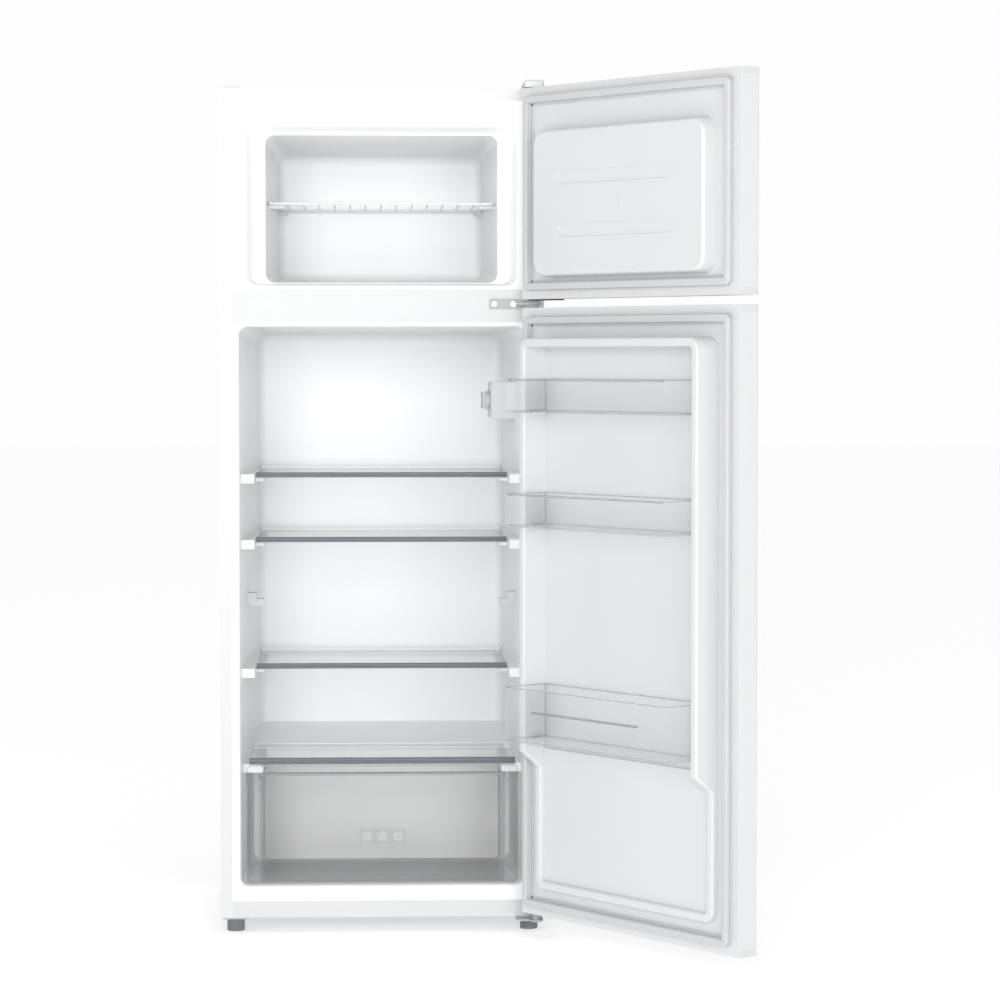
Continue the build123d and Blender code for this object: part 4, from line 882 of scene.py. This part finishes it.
@dataclass
class Storage:
    """Crisper drawer and door bins, with three plain produce signs on the drawer.

    Attributes:
        clear: Nodes of clear plastic.
        sign: Side of a sign's frame.
        pitch: Distance between two signs.
        rise: Drawer's bottom to the middle of the signs.
        line: Width of a raised line.
        lift: Height of a raised line.
        sink: How deep a raised line is set into the drawer.
        corner: Radius of the corners of a sign's frame.
        bead: Radius of the grey line along the clear walls' edges: painted shade of refraction at the edges,
            partly the real thickness of a wall seen edge on.
    """

    clear: tuple[str, ...] = ("crisper_drawer", "upper_bin", "middle_bin", "lower_bin")
    sign: float = 0.022
    pitch: float = 0.026
    rise: float = 0.078
    line: float = 0.0013
    lift: float = 0.0005
    sink: float = 0.0001
    corner: float = 0.003
    bead: float = 0.0006

    def dress(self) -> None:
        """Dresses the CAD nodes."""
        for node in self.clear:
            dress(node, Shop.CLEAR)

    def build(self) -> None:
        """Makes the frosted signs, and grey beads of painted edge shade along the creases of every clear
        node.
        """
        low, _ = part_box("crisper_drawer")
        y, z = low.y, low.z + self.rise
        parts = []
        for i, mark in enumerate(Mark):
            x = (i - 1) * self.pitch
            parts.append(self._outline(self._square(), x, y, z))
            parts.append(self._outline(self._shape(mark), x, y, z))
        piece("drawer_signs", join(parts), "crisper_drawer", "crisper_drawer", Shop.FROST)
        # Painted shade: a grey bead along every crease of each clear node, standing in for the dark edge
        # lines of refraction.
        for node in self.clear:
            beads = TreeMaker(Rule.EDGES, {"radius": self.bead}, crease_lines(node))
            piece(f"{node}_edges", beads.run(f"{node}_edges", Shop.CLEAR_EDGE_SHADE), node, node, Shop.CLEAR_EDGE_SHADE)

    def _square(self) -> list[tuple[float, float]]:
        """Rounded square of a sign's frame, as points round its middle."""
        half, r = self.sign / 2 - self.line / 2, self.corner
        points = []
        for cx, cz, start in ((half - r, half - r, 0), (r - half, half - r, 90),
                              (r - half, r - half, 180), (half - r, r - half, 270)):
            for k in range(5):
                turn = radians(start + 22.5 * k)
                points.append((cx + r * cos(turn), cz + r * sin(turn)))
        return points

    def _shape(self, mark: Mark) -> list[tuple[float, float]]:
        """Outline of a sign.

        Args:
            mark: Which sign.

        Returns:
            Points round its middle.
        """
        size, points = self.sign * 0.28, []
        for k in range(24):
            turn = tau * k / 24
            if mark is Mark.LEAF:
                x, z = cos(turn), 0.45 * sin(turn)
                points.append((size * (x - z) * 0.75, size * (x + z) * 0.75))
            elif mark is Mark.DROP:
                pinch = (1 + sin(turn)) / 2
                points.append((size * cos(turn) * (1 - 0.6 * pinch), size * sin(turn)))
            else:
                points.append((size * cos(turn), size * sin(turn) * 0.85))
        return points

    def _outline(self, points: Sequence[tuple[float, float]], x: float, y: float,
                 z: float) -> bpy.types.Mesh:
        """A raised line round a closed outline on the drawer's front.

        Args:
            points: The outline round its own middle.
            x: Place of its middle.
            y: The drawer's front face.
            z: Height of its middle.

        Returns:
            The line's mesh.
        """
        n, verts, faces = len(points), [], []
        for i, (px, pz) in enumerate(points):
            ax, az = points[i - 1]
            bx, bz = points[(i + 1) % n]
            out = Vector((bz - az, -(bx - ax))).normalized() * (self.line / 2)
            for sx, dy in ((1, 0.0), (1, -self.lift), (-1, -self.lift), (-1, 0.0)):
                verts.append((x + px + sx * out.x, y + dy + self.sink, z + pz + sx * out.y))
        for i in range(n):
            a, b = 4 * i, 4 * ((i + 1) % n)
            faces += [(a + k, a + (k + 1) % 4, b + (k + 1) % 4, b + k) for k in range(4)]
        mesh = bpy.data.meshes.new("line")
        mesh.from_pydata(verts, [], faces)
        return mesh


@dataclass
class Controls:
    """Thermostat, lamp and knob.

    Attributes:
        ticks: Number of marks round the knob.
        tick_l: Length of a mark.
        tick_w: Width of a mark.
        tick_h: Height of a mark.
        margin: The marks' outer ends to the knob's edge.
        sink: Middle of a mark to the knob's face.
    """

    ticks: int = 24
    tick_l: float = 0.003
    tick_w: float = 0.0012
    tick_h: float = 0.0008
    margin: float = 0.001
    sink: float = 0.0002

    def dress(self) -> None:
        """Dresses the CAD nodes."""
        for node, finish in (("thermostat_housing", Shop.TRIM), ("thermostat_knob", Shop.RIB),
                             ("lamp_lens", Shop.LENS), ("lamp_bulb", Shop.BULB)):
            dress(node, finish)

    def build(self) -> None:
        """Makes the grip ribs round the knob's face."""
        low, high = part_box("thermostat_knob")
        radius = (high.z - low.z) / 2
        ribs = TreeMaker(Rule.RADIAL, {
            "count": self.ticks, "ring": radius - self.tick_l / 2 - self.margin,
            "bar_l": self.tick_l, "bar_w": self.tick_w, "bar_h": self.tick_h})
        mesh = ribs.run("knob_ribs", Shop.EDGE)
        place = Matrix.Translation((low.x + self.sink, (low.y + high.y) / 2, (low.z + high.z) / 2))
        seat(mesh, place @ Matrix.Rotation(-pi / 2, 4, "Y"))
        piece("thermostat_knob_marks", mesh, "thermostat_knob", "thermostat_knob", Shop.EDGE)


@dataclass
class CoolingUnit:
    """Everything at the back.

    Attributes:
        wire: Radius of a condenser wire.
        pitch: Distance between two wires.
        enamelled: Nodes in black enamel.
    """

    wire: float = 0.0007
    pitch: float = 0.021
    enamelled: tuple[str, ...] = ("compressor", "condenser_tube", "relay_cover")

    def dress(self) -> None:
        """Dresses the CAD nodes."""
        for node in self.enamelled:
            dress(node, Shop.ENAMEL)
        for node, finish in (("compressor_grommets", Shop.RUBBER), ("filter_drier", Shop.COPPER),
                             ("refrigerant_pipes", Shop.COPPER), ("evaporation_pan", Shop.PAN),
                             ("drain_tube", Shop.PAN), ("evaporators", Shop.ALUMINIUM)):
            dress(node, finish)

    def build(self) -> None:
        """Makes the wires on both faces of the coil, in place of their CAD node."""
        low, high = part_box("condenser_wires")
        count = round((high.x - low.x - 2 * self.wire) / self.pitch) + 1
        rows = []
        for y in (low.y + self.wire, high.y - self.wire):
            row = TreeMaker(Rule.WIRES, {"count": count, "pitch": self.pitch, "run_y": 0.0,
                                         "run_z": high.z - low.z, "radius": self.wire})
            mesh = row.run(f"wires_{len(rows)}", Shop.ENAMEL)
            rows.append(seat(mesh, Matrix.Translation((low.x + self.wire, y, low.z))))
        piece("condenser_wire_grid", join(rows), "cabinet", "condenser_wires", Shop.ENAMEL, "condenser_wires")


@dataclass(frozen=True)
class Lamp:
    """A square area light.

    Attributes:
        name: Its name.
        place: Where it stands.
        aim: The point that it faces.
        size: Its side.
        power: Its power, in watts.
    """

    name: str
    place: tuple[float, float, float]
    aim: tuple[float, float, float]
    size: float
    power: float


@dataclass
class Studio:
    """Floor, light and camera.

    Attributes:
        floor_size: Side of the floor.
        lens: Focal length in millimetres.
        sensor: Width of the sensor in millimetres.
        eye: The camera's place.
        pan: How far the camera turns from straight ahead, in degrees.
        tilt: How far it looks down, in degrees.
        exposure: The picture's exposure, in stops.
        ambient: Strength of the light from all round.
        lamps: The key and the fill.
    """

    floor_size: float = 60.0
    lens: float = 117.63
    sensor: float = 36.0
    eye: tuple[float, float, float] = (-0.0314, -5.760, 0.978)
    pan: float = -2.393
    tilt: float = -2.496
    exposure: float = -0.02
    ambient: float = 0.62
    lamps: tuple[Lamp, ...] = (
        Lamp("key", (-1.0, -7.0, 1.9), (0.0, 0.0, 0.75), 2.4, 165.0),
        Lamp("fill", (1.6, -6.0, 0.9), (0.0, 0.0, 0.7), 2.0, 65.0))

    def build(self) -> None:
        """Makes all of it."""
        self._floor()
        self._light()
        self._camera()

    def _floor(self) -> None:
        """Plain pale floor."""
        half = self.floor_size / 2
        mesh = bpy.data.meshes.new("floor")
        corners = [(-half, -half, 0.0), (half, -half, 0.0), (half, half, 0.0), (-half, half, 0.0)]
        mesh.from_pydata(corners, [], [(0, 1, 2, 3)])
        made = bpy.data.objects.new("floor", mesh)
        bpy.context.scene.collection.objects.link(made)
        pale = Finish("pale_floor", (0.97, 0.97, 0.97), (0.96, 0.96, 0.96), 0.5, 0.6, 0.75, 0.03,
                      60.0, 0.02, 0.0005, glow=0.38)
        mesh.materials.append(pale.build())

    def _light(self) -> None:
        """White surroundings that light less than they show, a broad key and a weaker fill."""
        world = bpy.data.worlds.new("studio")
        world.use_nodes = True
        world.node_tree.nodes.clear()
        graph = Graph(world.node_tree)
        seen = graph.node("ShaderNodeLightPath", output="Is Camera Ray")
        strength = self.ambient + seen * (1.0 - self.ambient)
        background = graph.node("ShaderNodeBackground", {},
                                {"Color": (1.0, 1.0, 1.0, 1.0), "Strength": strength})
        graph.node("ShaderNodeOutputWorld", {}, {"Surface": background})
        bpy.context.scene.world = world
        for lamp in self.lamps:
            light = bpy.data.lights.new(lamp.name, "AREA")
            light.energy = lamp.power
            light.shape = "SQUARE"
            light.size = lamp.size
            made = bpy.data.objects.new(lamp.name, light)
            bpy.context.scene.collection.objects.link(made)
            made.location = lamp.place
            made.rotation_euler = (Vector(lamp.aim) - Vector(lamp.place)).to_track_quat("-Z", "Y").to_euler()
        bpy.context.scene.view_settings.view_transform = "Standard"
        bpy.context.scene.view_settings.exposure = self.exposure

    def _camera(self) -> None:
        """Camera in front of the cabinet, turned a little to the right and down."""
        lens = bpy.data.cameras.new("camera")
        lens.lens = self.lens
        lens.sensor_width = self.sensor
        made = bpy.data.objects.new("camera", lens)
        bpy.context.scene.collection.objects.link(made)
        made.location = self.eye
        made.rotation_euler = (pi / 2 + radians(self.tilt), 0.0, radians(self.pan))
        bpy.context.scene.camera = made


def main() -> None:
    """Builds the refrigerator, one sub-assembly after another."""
    logging.basicConfig(level=logging.INFO, format="%(name)s: %(message)s")
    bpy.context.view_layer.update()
    Cabinet().dress()
    WireShelf().build()
    doors = [Door(name, f"{name}_swing") for name in ("freezer_door", "fridge_door")]
    shelves = [GlassShelf(name) for name in ("upper_shelf", "middle_shelf", "lower_shelf", "crisper_cover")]
    for assembly in (*doors, *shelves, Storage(), Controls(), CoolingUnit()):
        assembly.dress()
        assembly.build()
    Studio().build()
    bpy.context.view_layer.update()


if __name__ == "__main__":
    main()
